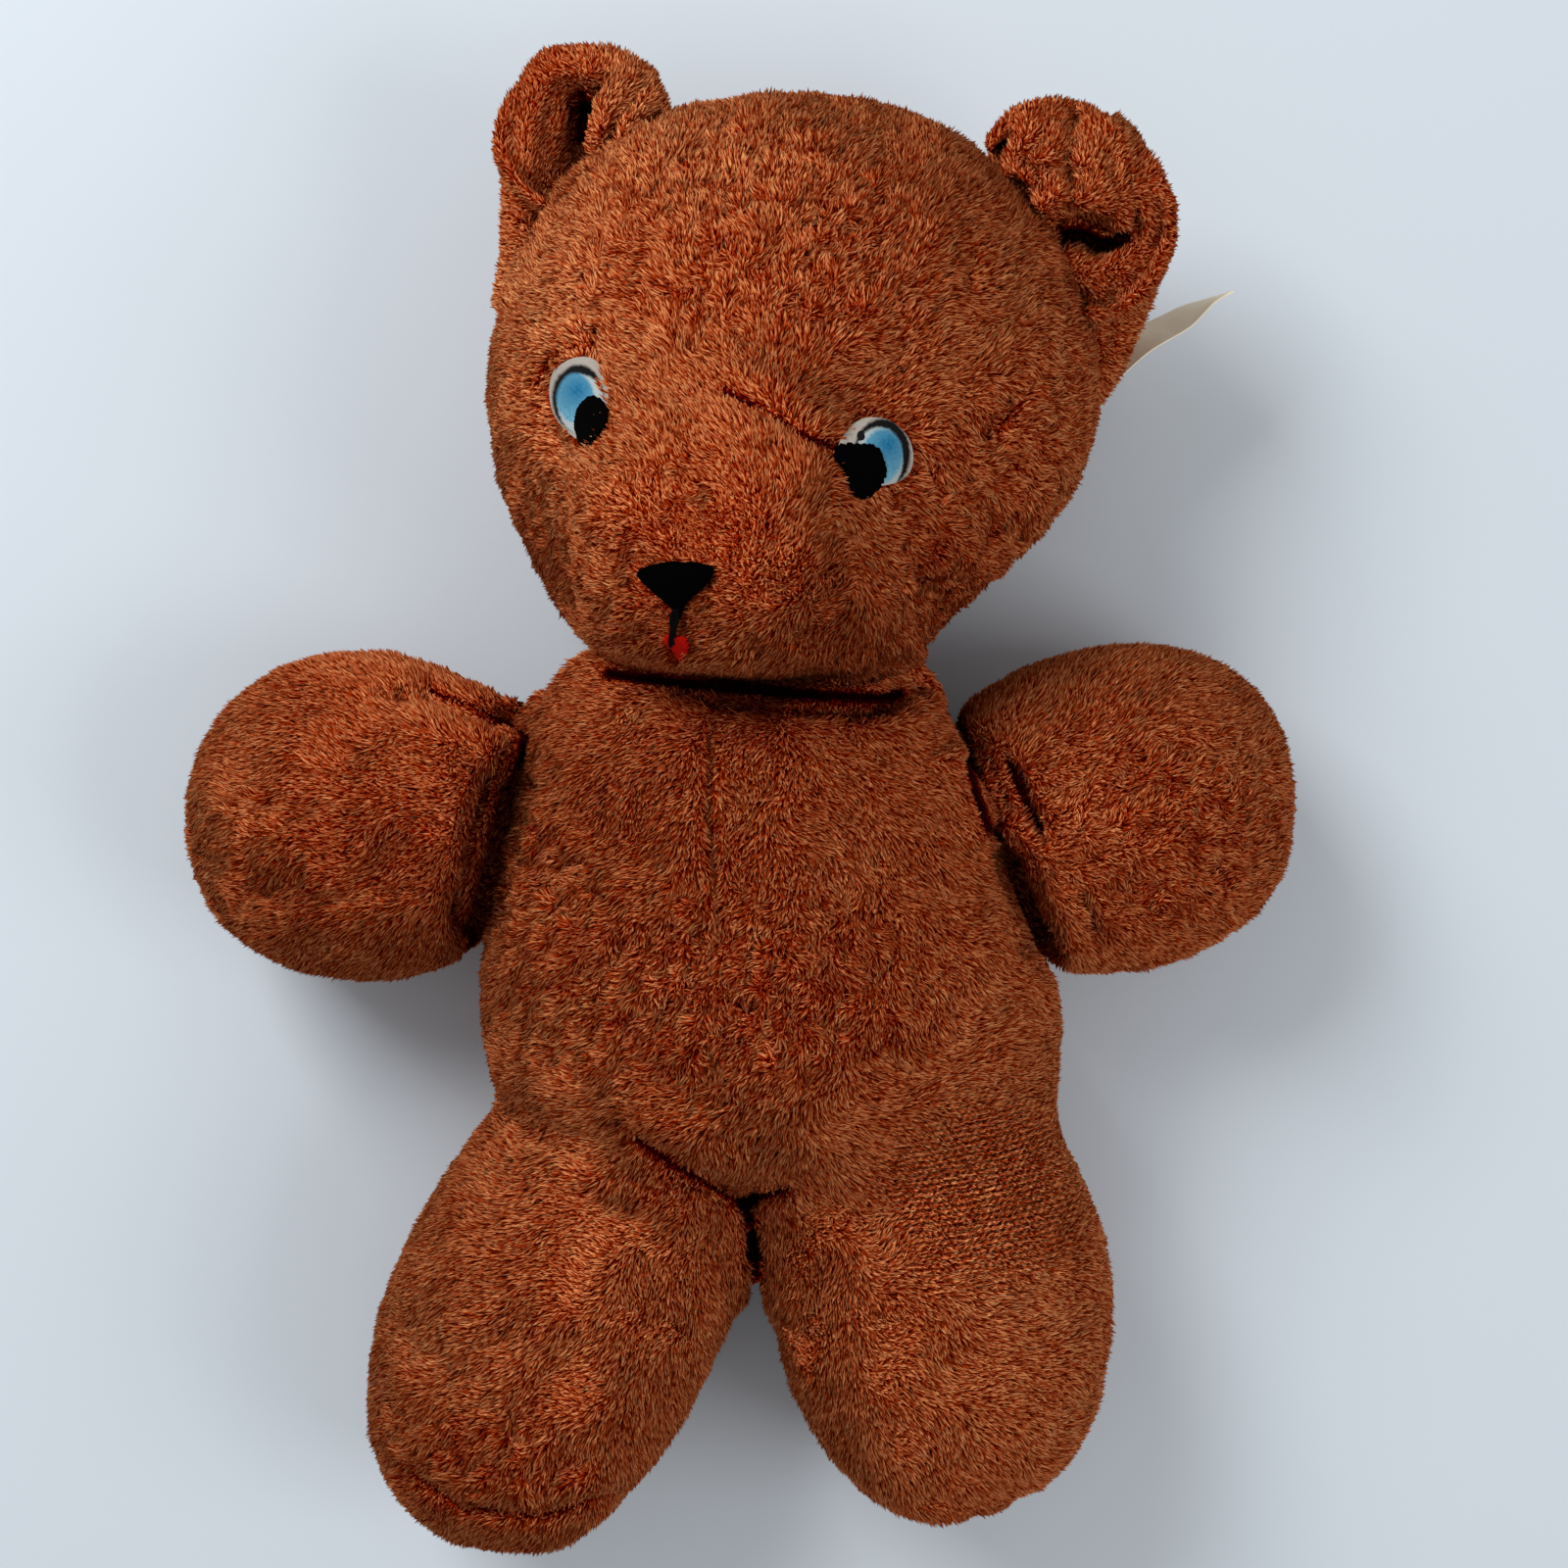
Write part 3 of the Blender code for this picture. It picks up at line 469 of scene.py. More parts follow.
# %% Lines pressed into the skins
# name, line in pixels, depth and width in mm
CREASES = {
    "head": [
        ("fold above the muzzle", [(735, 395), (780, 418), (825, 448), (862, 462)], 3.4, 3.0),
        ("brow over the fold", [(760, 385), (830, 425), (870, 440)], -1.4, 5.0),
        ("pucker above the left eye", [(603, 330), (606, 352), (612, 378)], 3.4, 2.6),
        ("left of the left eye", [(560, 360), (552, 400), (562, 445), (585, 470)], 3.6, 3.0),
        ("round the right eye",
         [(850, 455), (885, 418), (930, 430), (940, 470), (915, 500)], 2.2, 3.2),
        ("left edge of the muzzle", [(575, 470), (562, 540), (572, 600), (600, 650)], 3.0, 6.0),
        ("left of the muzzle", [(640, 470), (616, 540), (616, 600), (640, 650)], -4.0, 10.0),
        ("right of the muzzle", [(745, 480), (795, 540), (805, 600), (770, 660)], -4.0, 15.0),
        ("top of the muzzle", [(690, 470), (694, 550)], 2.6, 8.0),
        ("below the mouth", [(610, 640), (690, 668), (780, 660)], -3.6, 11.0),
        ("pucker on the right cheek", [(1045, 405), (1022, 425), (1010, 458)], 5.0, 2.8),
        ("right cheek", [(905, 560), (950, 600), (965, 650)], 4.0, 7.0),
        ("fold on the right cheek", [(1040, 470), (1010, 520), (1000, 580)], 2.6, 4.0),
        ("lump on the right cheek", [(965, 500), (975, 560), (950, 590)], -2.6, 6.0),
        ("edge of the right cheek", [(1075, 450), (1050, 530), (1010, 600)], -2.0, 5.0),
        ("right edge of the muzzle", [(850, 520), (872, 580), (850, 640), (800, 684)], 4.0, 8.0),
        ("right brow", [(985, 250), (988, 300)], 1.6, 2.6),
        ("below the right ear", [(1084, 290), (1092, 340), (1090, 385)], 2.4, 2.8),
        ("top of the head", [(830, 120), (900, 128), (960, 150)], 1.8, 3.6),
        ("forehead dent", [(640, 210), (700, 190), (800, 200)], 1.2, 8.0),
        ("second forehead dent", [(700, 290), (760, 330), (830, 330)], 1.4, 9.0),
        ("jaw corner", [(860, 696), (905, 690), (945, 655)], -2.0, 8.0),
        ("left cheek ridge", [(520, 470), (522, 540), (545, 600)], -1.6, 6.0),
        ("forehead lump", [(640, 250), (720, 240), (800, 260)], -1.6, 9.0),
        ("right forehead lump", [(880, 210), (940, 240), (980, 300)], -1.4, 8.0),
    ],
    "body": [
        ("under the chin",
         [(700, 702), (760, 706), (830, 711), (900, 713), (936, 702)], 18.0, 4.0),
        ("shoulder up to the right arm", [(955, 765), (978, 810), (1005, 860)], -5.0, 5.0),
        ("slit beside the right arm", [(1028, 850), (1045, 905), (1064, 985)], 14.0, 4.5),
        ("slit beside the left arm", [(530, 775), (506, 850), (484, 965)], 12.0, 5.5),
        ("top of the torso",
         [(560, 704), (650, 690), (800, 690), (930, 696), (975, 708)], 0.0, 9.0),
        ("shoulder towards the left arm", [(562, 706), (548, 745), (538, 790)], 0.0, 7.0),
        ("belly whorl", [(752, 1022), (772, 1034)], 2.4, 2.4),
        ("side whorl", [(545, 915), (560, 890), (600, 872)], 1.8, 3.0),
        ("hip fold by the crotch", [(630, 1150), (690, 1188), (757, 1227)], 11.0, 2.7),
        ("thigh below the fold", [(560, 1190), (640, 1210), (715, 1246)], -3.4, 6.0),
        ("belly above the fold", [(640, 1120), (700, 1152), (770, 1192)], -3.0, 6.0),
        ("left hip", [(505, 1128), (580, 1162), (650, 1180)], 1.6, 6.0),
        ("right of the crotch", [(757, 1228), (780, 1218), (808, 1212)], 6.0, 1.8),
        ("slit between the legs", [(764, 1220), (769, 1260), (774, 1320)], 8.0, 2.0),
        ("chest seam", [(727, 730), (722, 830), (733, 930)], 2.2, 1.4),
        ("left foot seam", [(420, 1500), (470, 1538), (550, 1548), (630, 1520)], 5.0, 2.4),
        ("left toe above the seam",
         [(400, 1460), (470, 1515), (560, 1525), (630, 1495)], -1.2, 4.0),
        ("outer side of the left leg", [(408, 1330), (396, 1400), (402, 1460)], 1.4, 4.0),
        ("dent on the left leg", [(430, 1430), (480, 1450), (520, 1440)], 1.6, 6.0),
        ("right foot seam", [(930, 1528), (990, 1540), (1050, 1520)], 3.4, 2.2),
        ("inner side of the right leg", [(780, 1350), (800, 1420), (840, 1480)], 1.8, 3.0),
        ("outer side of the right leg", [(1118, 1180), (1128, 1230)], 1.8, 3.0),
    ],
    "arm_left": [
        ("fold at the shoulder", [(395, 708), (440, 705), (480, 722), (535, 748)], 6.0, 2.6),
        ("below the shoulder fold", [(420, 745), (480, 758), (530, 775)], -2.2, 5.0),
        ("slit beside the torso", [(528, 785), (506, 860), (482, 970)], 16.0, 6.0),
        ("arm towards the shoulder", [(515, 712), (532, 752), (528, 800)], 0.0, 6.0),
        ("pleat by the slit", [(500, 790), (470, 850)], 2.0, 2.4),
    ],
    "arm_right": [
        ("rim at the shoulder", [(982, 742), (1004, 800), (1024, 850)], 4.0, 5.0),
        ("pleat at the shoulder", [(1026, 772), (1045, 816), (1064, 855)], 8.0, 2.1),
        ("second pleat", [(985, 775), (994, 806), (1010, 848)], 8.0, 2.2),
        ("between the pleats", [(1006, 780), (1022, 830), (1042, 870)], -2.2, 3.0),
        ("slit beside the torso", [(1028, 866), (1044, 915), (1066, 985)], 15.0, 4.0),
        ("lower pleat", [(1100, 905), (1112, 930), (1116, 955)], 2.4, 2.2),
        ("upper rim", [(1180, 690), (1250, 720), (1295, 790), (1300, 860)], 1.2, 4.0),
    ],
}
# how far the upright walls beside a line give way, in mm
SIDEWAYS = {
    "slit beside the left arm": 2.5,
    "slit beside the torso": 2.5,
    "top of the torso": -6.0,
    "shoulder towards the left arm": -4.0,
    "arm towards the shoulder": -3.5,
    "slit beside the right arm": 3.0,
    "slit between the legs": 1.2,
    "jaw corner": -4.5,
}

LINE_END = 0.04
END_FADE = 2.5
LEVEL_FADE = 3
LOWEST_WALL = -0.4


def press(skin, line, depth, width, sideways=0.0):
    """Presses one soft line into the side of a skin that the camera sees."""
    points = read_points(skin)
    normals = read_normals(skin)
    gap, along = to_line(seen(points), line)
    gap *= PIXEL / (width * MM)
    fade = np.clip(END_FADE * np.sin(np.pi * np.clip(along, LINE_END, 1 - LINE_END)), 0, 1)
    level = np.clip(LEVEL_FADE * normals[:, 2], 0, 1)
    upright = (1 - level) * (normals[:, 2] > LOWEST_WALL)
    amount = np.exp(-gap ** 2) * fade * (depth * level + sideways * upright)
    write_points(skin, points - normals * (MM * amount)[:, None])


for name, lines in CREASES.items():
    for what, line, depth, width in lines:
        press(skins[name], line, depth, width, SIDEWAYS.get(what, 0.0))
    print(name, len(lines), "creases")

# %% [markdown]
# ## Ears
#
# Each ear is two layers of plush with no stuffing, sewn into a cup. Years
# of handling have crushed them: the left one is rolled over along its right
# side, and the right one is bunched up over a dark hollow. The cup is
# copied from the CAD layers, the rolls are tubes of cloth laid along lines
# of the photograph, and one voxel remesh melts them together.

# %% Two crushed ears
EAR_GRID = 1.36 * MM
CUP_SMOOTHING = 12
EAR_SMOOTHING = 9
# the point that stays in place, and how far each side of the cup shrinks
EAR_FIT = {
    "ear_left": ((-30 * MM, 165 * MM, 60 * MM), (0.83, 0.82, 0.95)),
    "ear_right": ((75 * MM, 150 * MM, 60 * MM), (0.88, 0.98, 1.0)),
}
# radius of a roll in mm, then its path: pixels across and down, height in mm
EARS = {
    "ear_left": [
        (4.8, [(520, 318, 58), (528, 275, 63), (530, 230, 68), (531, 180, 73), (541, 106, 77),
               (557, 68, 79), (596, 65, 80), (636, 69, 79), (662, 90, 76)]),
        (7.0, [(540, 262, 56), (548, 205, 62), (556, 150, 66), (572, 112, 68)]),
        (8.0, [(560, 235, 54), (572, 185, 58), (586, 150, 58)]),
        (6.5, [(534, 256, 60), (541, 200, 66), (552, 142, 70), (572, 100, 72)]),
        (9.0, [(544, 250, 58), (549, 195, 62), (558, 142, 65), (574, 106, 66)]),
        (5.0, [(562, 96, 72), (590, 84, 74), (616, 84, 76)]),
        (4.0, [(646, 78, 82), (626, 98, 83), (612, 126, 83), (608, 156, 77)]),
        (4.0, [(670, 94, 78), (650, 108, 82), (635, 132, 82), (628, 158, 76)]),
    ],
    "ear_right": [
        (4.4, [(1128, 128, 78), (1152, 150, 78), (1167, 195, 77), (1170, 250, 75),
               (1162, 298, 71), (1144, 338, 66), (1124, 384, 58), (1104, 410, 54)]),
        (4.6, [(1036, 180, 76), (1044, 148, 80), (1064, 130, 82), (1086, 124, 80)]),
        (4.4, [(1106, 130, 82), (1128, 134, 83), (1142, 158, 82), (1147, 198, 81),
               (1146, 230, 76)]),
        (3.8, [(1050, 188, 83), (1062, 164, 86), (1080, 158, 86)]),
        (3.8, [(1096, 160, 86), (1114, 168, 86), (1124, 190, 84), (1126, 214, 80)]),
        (3.6, [(1060, 212, 81), (1074, 196, 85), (1088, 190, 86)]),
        (3.6, [(1102, 194, 85), (1108, 210, 82)]),
        (3.6, [(1068, 142, 85), (1090, 144, 85)]),
        (3.6, [(1106, 148, 85), (1128, 158, 84)]),
        (6.4, [(1112, 275, 68), (1132, 300, 71), (1134, 336, 66), (1112, 392, 56)]),
        (6.4, [(1094, 290, 62), (1106, 325, 64), (1100, 370, 58)]),
        (5.6, [(1140, 262, 72), (1150, 288, 73), (1146, 318, 70)]),
        (6.0, [(1070, 216, 68), (1110, 206, 70), (1140, 232, 70)]),
        (8.0, [(1060, 156, 74), (1090, 152, 77), (1122, 172, 77), (1134, 204, 74)]),
        (5.5, [(1036, 172, 73), (1048, 206, 69), (1066, 248, 62)]),
        (5.0, [(1019, 158, 64), (1030, 178, 65), (1044, 202, 64)]),
        (6.0, [(1086, 264, 65), (1100, 274, 67), (1112, 292, 68)]),
        (7.0, [(1062, 196, 72), (1086, 176, 76), (1112, 196, 76)]),
    ],
}
EAR_CREASES = {
    "ear_left": [
        ("hollow of the ear", [(586, 96), (594, 120), (590, 150)], 8.0, 2.8),
        ("between the rolls", [(655, 92), (632, 118), (618, 150)], 2.2, 1.3),
    ],
    "ear_right": [
        ("dark hollow", [(1076, 238), (1098, 232), (1136, 250)], 9.0, 2.6),
        ("groove inside the rim", [(1152, 172), (1160, 205), (1160, 246)], 3.0, 1.4),
        ("groove across the bunch", [(1088, 130), (1094, 160), (1090, 205)], 1.0, 1.4),
        ("groove over the bunch", [(1050, 176), (1086, 172), (1128, 178)], 0.9, 1.4),
        ("pleat on the lower lobe", [(1136, 300), (1132, 340), (1120, 372)], 1.6, 2.2),
        ("between two bunches", [(1096, 104), (1098, 122), (1086, 140)], 1.4, 1.8),
        ("second bunch", [(1040, 165), (1056, 172), (1060, 190)], 1.8, 1.6),
    ],
}


def roll(name, path, radius):
    """A tube of cloth through places given as pixels and heights."""
    line = bpy.data.curves.new(name, "CURVE")
    line.dimensions = "3D"
    spline = line.splines.new("NURBS")
    spline.points.add(len(path) - 1)
    for point, (across, down, height) in zip(spline.points, path):
        point.co = (*placed(across, down, height * MM), 1)
    spline.use_endpoint_u = True
    spline.order_u = 3
    line.bevel_depth = radius * MM
    line.bevel_resolution = 3
    line.use_fill_caps = True
    tube = bpy.data.objects.new(name, line)
    scene.collection.objects.link(tube)
    only(tube)
    bpy.ops.object.convert(target="MESH")
    return bpy.context.object


ears = {}
for name, rolls in EARS.items():
    ear = joined_copy(name + "_plush", [name + "_back", name + "_lining"])
    middle, sizes = EAR_FIT[name]
    edit(ear, action="SELECT")
    bpy.ops.transform.resize(value=sizes, center_override=middle)
    done()
    target = tree_of(ear)
    apply_modifier(ear, "REMESH", mode="VOXEL", voxel_size=EAR_GRID)
    apply_modifier(ear, "SMOOTH", factor=0.5, iterations=CUP_SMOOTHING)
    set_in(ear, target)
    tubes = [roll(name, path, radius) for radius, path in rolls]
    only(ear, *tubes)
    bpy.ops.object.join()
    apply_modifier(ear, "REMESH", mode="VOXEL", voxel_size=EAR_GRID)
    apply_modifier(ear, "SMOOTH", factor=0.5, iterations=EAR_SMOOTHING)
    for what, line, depth, width in EAR_CREASES[name]:
        press(ear, line, depth, width)
    ears[ear.name] = ear
    print(ear.name, len(rolls), "rolls,", len(ear.data.polygons), "faces")

# %% [markdown]
# ## Panels
#
# The skins are cut where the real cloth is sewn: at the seam between the
# front and back of each form, and at the hip. A cut is flat and closed, so
# each panel is a solid of its own. The back panels keep a quarter of their
# faces, because nobody looks at their pile closely.

# %% Cut the skins into panels
HIP_HEIGHT = 60 * MM
HIP_LEFT, CROTCH, HIP_RIGHT = [placed(*pixel, HIP_HEIGHT) for pixel in HIP_LINE]
CUT_ROOM = 0.05 * MM
BACK_SHARE = 0.25


def cut(piece, name, place, away):
    """A copy of a piece without what lies on one side of a flat cut."""
    part = bpy.data.objects.new(name, piece.data.copy())
    scene.collection.objects.link(part)
    edit(part, action="SELECT")
    bpy.ops.mesh.bisect(plane_co=place, plane_no=away, use_fill=True, clear_outer=True)
    done()
    return part


def across_hip(start, end):
    """The level direction square to a hip line, pointing at the leg."""
    way = end - start
    return Vector((way.y, -way.x, 0)).normalized()


left_out = across_hip(HIP_LEFT, CROTCH)
right_out = across_hip(CROTCH, HIP_RIGHT)
body = skins["body"]
upper = cut(body, "upper", CROTCH, left_out)
torso = cut(upper, "torso", CROTCH, right_out)
leg_left = cut(cut(body, "left_side", CROTCH, (1, 0, 0)), "leg_left", CROTCH, -left_out)
leg_right = cut(cut(body, "right_side", CROTCH, (-1, 0, 0)), "leg_right", CROTCH, -right_out)
parts = {
    "head": skins["head"],
    "torso": torso,
    "leg_left": leg_left,
    "leg_right": leg_right,
    "arm_left": skins["arm_left"],
    "arm_right": skins["arm_right"],
}
CUTS = {"torso": [left_out, right_out], "leg_left": [left_out], "leg_right": [right_out]}
head_tree = tree_of(skins["head"])

panels = {}
for name, part in parts.items():
    height = SEAMS[name]
    front = cut(part, name + "_front_plush", (0, 0, height + CUT_ROOM), (0, 0, -1))
    back = cut(part, name + "_back_plush", (0, 0, height - CUT_ROOM), (0, 0, 1))
    apply_modifier(back, "DECIMATE", ratio=BACK_SHARE)
    panels[front.name] = front
    panels[back.name] = back
    print(name, len(front.data.polygons), "front faces,", len(back.data.polygons), "back faces")
for name in ("upper", "left_side", "right_side"):
    bpy.data.objects.remove(bpy.data.objects[name])
for skin in set(skins.values()) | set(parts.values()):
    bpy.data.objects.remove(skin)

# %% [markdown]
# ## The pile
#
# Plush pile stands about 4 mm off its knitted backing, lies over in locks,
# and keeps the marks of every hand. A particle system would give hairs that
# no other program can read, so the pile is real geometry: each small face
# of a skin is poked, and its new middle point is drawn out to the tip of
# one strand. Tips that stand close together draw into locks. The way the
# pile lies is combed with brush strokes, drawn as they are seen in the
# photograph, from and to a pixel.
#
# Wear and painted light are drawn the same way: lines along the creases where
# the pile is trodden down and painted near black as their shade, and fields
# where it is short, matted, or painted paler and darker as light and shade.

# %% Brush strokes
BRUSH_STROKES = [
    (690, 300, 600, 170), (760, 300, 740, 120), (820, 300, 920, 130), (880, 330, 1050, 240),
    (900, 400, 1110, 360), (930, 480, 1090, 560), (880, 540, 960, 640), (640, 330, 530, 300),
    (560, 450, 510, 470), (580, 540, 540, 610),
    (760, 600, 690, 470), (670, 620, 610, 520), (700, 520, 640, 420), (820, 570, 760, 450),
    (700, 650, 630, 640), (800, 650, 740, 630),
    (600, 700, 570, 830), (700, 700, 690, 860), (850, 710, 870, 850), (960, 730, 1010, 860),
    (640, 880, 530, 960), (560, 980, 510, 1040), (720, 880, 700, 1010), (860, 880, 900, 1000),
    (980, 900, 1060, 1000), (740, 1020, 660, 1110), (860, 1020, 770, 1160),
    (900, 1150, 1060, 1090), (640, 1120, 520, 1100),
    (500, 740, 380, 720), (380, 740, 240, 780), (480, 880, 340, 870), (340, 870, 210, 900),
    (450, 960, 320, 970), (300, 690, 220, 760), (480, 800, 400, 830),
    (1060, 800, 1150, 740), (1150, 740, 1260, 720), (1080, 880, 1200, 850), (1200, 850, 1310, 840),
    (1110, 950, 1220, 930), (1220, 930, 1290, 900), (1040, 740, 1110, 690),
    (690, 1220, 560, 1260), (560, 1260, 420, 1330), (700, 1320, 560, 1380), (560, 1380, 410, 1440),
    (640, 1420, 540, 1500), (500, 1480, 430, 1540), (600, 1500, 560, 1560),
    (840, 1260, 960, 1270), (960, 1270, 1110, 1290), (830, 1340, 940, 1390),
    (940, 1370, 1090, 1400), (880, 1440, 980, 1510), (1000, 1470, 1070, 1500),
    (560, 150, 530, 60), (640, 110, 660, 60), (1080, 180, 1090, 110), (1130, 260, 1190, 280),
]
STROKE_REACH = 64.0
FAR_WEIGHT = 1e-3
# how far whorls turn the pile, how large they are, seed
WHORLS = [(0.7, 24 * MM, 5), (0.28, 8 * MM, 6)]
WAVE_SIZES = (0.7, 1.4)


def waves(points, size, seed, count=7):
    """A smooth random field from -1 to 1 whose bumps are size metres apart."""
    draw = np.random.default_rng(seed)
    total = np.zeros(len(points))
    for _ in range(count):
        way = draw.normal(size=3)
        way *= 2 * math.pi / (size * draw.uniform(*WAVE_SIZES) * np.linalg.norm(way))
        total += np.sin(points @ way + draw.uniform(0, 2 * math.pi))
    return total / math.sqrt(count / 2) / 2


def lie_of_pile(points):
    """The way the pile lies at each point, as flat directions."""
    places = seen(points)
    flow = np.zeros((len(points), 2))
    for x0, y0, x1, y1 in BRUSH_STROKES:
        gap = to_line(places, [(x0, y0), (x1, y1)])[0] / STROKE_REACH
        weight = np.exp(-gap ** 2) + FAR_WEIGHT / (1 + gap ** 4)
        way = np.array([x1 - x0, y0 - y1], float)
        flow += weight[:, None] * way / np.linalg.norm(way)
    turn = np.arctan2(flow[:, 1], flow[:, 0])
    turn += sum(most * waves(points, size, seed) for most, size, seed in WHORLS)
    return turn


print(len(BRUSH_STROKES), "brush strokes")

# %% Where no pile grows
FACE_FROM = 80 * MM
# middle and radii of an ellipse, in pixels
COVERED = [
    ("left eye", (587, 402), (24, 35)),
    ("left pupil", (601, 431), (17, 27)),
    ("top of the left pupil", (605, 414), (15, 20)),
    ("tip of the left pupil", (596, 446), (9, 15)),
    ("right eye", (894, 461), (34, 32)),
    ("right pupil", (882, 482), (17, 18)),
    ("nose", (691, 588), (35, 13)),
    ("tip of the nose", (692, 606), (15, 20)),
    ("stitch", (690, 640), (4, 22)),
    ("tongue", (692, 662), (11, 15)),
]


def under_face_pieces(points):
    """The places that the eyes, the nose and the mouth cover."""
    places = seen(points)
    bare = np.zeros(len(points), bool)
    for what, centre, radii in COVERED:
        bare |= np.hypot(*((places - centre) / radii).T) < 1
    return bare & (points[:, 2] > FACE_FROM)


print(len(COVERED), "places without pile")

# %% Wear of the pile, and painted light and shade
PILE_LENGTH = 4.0 * MM
# middle and reach in pixels, share of the pile that is left
SHORT_PILE = [
    ("muzzle", (700, 560), 105, 0.66),
    ("knit showing at the hip", (1015, 1215), 95, 0.5),
]
# line and reach in pixels, share of the pile that is left; where less than the dark share is left,
# the pile is painted near black as painted shade deep in the crease
TRODDEN_AND_PAINTED_SHADE = [
    # painted shadow: the near black band under the chin
    ([(622, 688), (700, 698), (830, 710), (898, 712), (916, 708)], 10.0, 0.0),
    ([(538, 752), (508, 850), (480, 970)], 9.0, 0.08),
    ([(986, 776), (993, 804), (1008, 846)], 8.0, 0.05),
    ([(1029, 778), (1045, 816), (1063, 850)], 7.5, 0.05),
    ([(1028, 872), (1038, 905), (1058, 962), (1070, 980)], 9.0, 0.05),
    ([(650, 1160), (690, 1189), (757, 1227)], 7.0, 0.1),
    ([(755, 1228), (780, 1218), (804, 1213)], 6.0, 0.06),
    ([(760, 1224), (768, 1262), (773, 1300)], 7.0, 0.08),
    ([(742, 402), (780, 420), (825, 449), (860, 463)], 6.0, 0.15),
    ([(600, 332), (606, 356)], 4.0, 0.2),
    ([(561, 374), (556, 405), (562, 438), (580, 460)], 4.0, 0.4),
    ([(549, 392), (560, 370), (582, 358), (602, 357)], 3.5, 0.25),
    ([(868, 427), (880, 420), (900, 424)], 3.5, 0.2),
    ([(903, 498), (916, 496), (928, 482)], 3.5, 0.3),
    ([(1042, 408), (1022, 430), (1012, 456)], 4.0, 0.3),
    ([(744, 1020), (768, 1034)], 4.0, 0.15),
    ([(594, 98), (595, 120), (590, 144)], 9.0, 0.05),
    ([(1080, 238), (1100, 234), (1132, 248)], 6.0, 0.05),
    ([(440, 706), (482, 722), (535, 748)], 5.0, 0.2),
    ([(727, 735), (722, 830), (733, 925)], 3.0, 0.5),
    ([(425, 1503), (475, 1538), (550, 1546), (625, 1520)], 5.0, 0.25),
    ([(935, 1530), (990, 1540), (1048, 1522)], 4.0, 0.4),
]
# the camera does not see the low walls, so these lines fade out there
TRODDEN_FROM = 30 * MM
TRODDEN_FADE = 12 * MM
# middle and radii in pixels, how far the pile is matted; its pits get painted shade
MATTED = [
    ("belly", (760, 1010), (230, 115), 1.0),
    ("side", (560, 905), (65, 85), 1.0),
    ("cheek", (985, 560), (90, 120), 1.0),
    ("right temple", (1045, 420), (70, 110), 0.8),
    ("left cheek", (560, 560), (55, 110), 0.7),
    ("right hand", (1200, 850), (125, 125), 1.0),
    ("left hand", (260, 880), (75, 95), 0.5),
    ("left foot", (500, 1485), (120, 65), 0.8),
    ("muzzle", (680, 560), (110, 100), 0.6),
    ("forehead", (760, 250), (210, 130), 0.9),
]
# middle and radii in pixels, how much paler the pile is painted, or darker where negative; most
# fields are painted light and painted shade
FADED_AND_PAINTED_LIGHT = [
    ("chest in the shade", (760, 790), (240, 130), -0.6),
    ("shade under the chin", (780, 735), (180, 26), -0.5),
    # painted shade inside the hollow of the left ear
    ("inside of the left ear", (550, 135), (50, 95), -1.3),
    ("roll of the left ear", (640, 100), (32, 36), 1.4),
    ("bunch of the right ear", (1090, 150), (60, 50), 0.4),
    # painted shade on the lobe of the right ear, under its bunch
    ("lobe of the right ear", (1155, 275), (40, 60), -0.5),
    # painted light on the crown, which faces the light from the upper left
    ("faded crown", (690, 160), (130, 80), 1.0),
    ("worn muzzle", (710, 570), (100, 90), -0.4),
    ("faded right temple", (1040, 470), (110, 150), 0.25),
    # painted shade on the left hand, and a painted pale rim of light along its outer edge
    ("grubby left hand", (365, 870), (140, 140), -1.1),
    ("rim of the left hand", (200, 850), (35, 110), 0.7),
    # painted shade on the lower left foot
    ("grubby left foot", (500, 1520), (150, 70), -0.3),
    ("faded left leg", (560, 1320), (150, 110), 0.35),
    # painted light on the right leg
    ("faded right leg", (960, 1350), (130, 160), 0.7),
    # painted light on the left temple, which faces the light from the upper left
    ("faded left temple", (560, 340), (75, 170), 1.3),
    # painted highlight on the lit left side of the muzzle, beside the painted shade at its edge
    ("faded left of the muzzle", (612, 570), (28, 90), 0.9),
    ("shade left of the muzzle", (568, 600), (24, 80), -0.6),
    ("shade under the hip fold", (690, 1215), (70, 32), -0.6),
    ("shade right of the muzzle", (850, 610), (60, 80), -0.5),
    ("grubby cheek", (975, 620), (120, 90), -0.4),
]
# middle and radii in pixels
KNIT_PATCH = ((1005, 1215), (110, 105))
UNEVEN_LENGTH = 0.16
LENGTH_PATCH = 14 * MM
UNEVEN_TONE = 0.3
TONE_PATCH = 45 * MM


def pile_length(points):
    """How long the pile is at each point: worn short in some places."""
    length = 1 + UNEVEN_LENGTH * waves(points, LENGTH_PATCH, seed=11)
    places = seen(points)
    in_sight = np.clip((points[:, 2] - TRODDEN_FROM) / TRODDEN_FADE, 0, 1)
    for line, reach, share in TRODDEN_AND_PAINTED_SHADE:
        gap = to_line(places, line)[0] / reach
        length *= 1 - (1 - share) * in_sight * np.exp(-gap ** 2)
    for what, centre, reach, share in SHORT_PILE:
        gap = np.linalg.norm(places - centre, axis=1) / reach
        length *= 1 - (1 - share) * np.exp(-gap ** 4)
    return length * PILE_LENGTH


def matted(points):
    """How far the pile is rubbed into small whorls, from 0 to 1."""
    places = seen(points)
    share = np.zeros(len(points))
    for what, centre, radii, most in MATTED:
        gap = np.linalg.norm((places - centre) / radii, axis=1)
        share = np.maximum(share, most * np.exp(-gap ** 4))
    return share


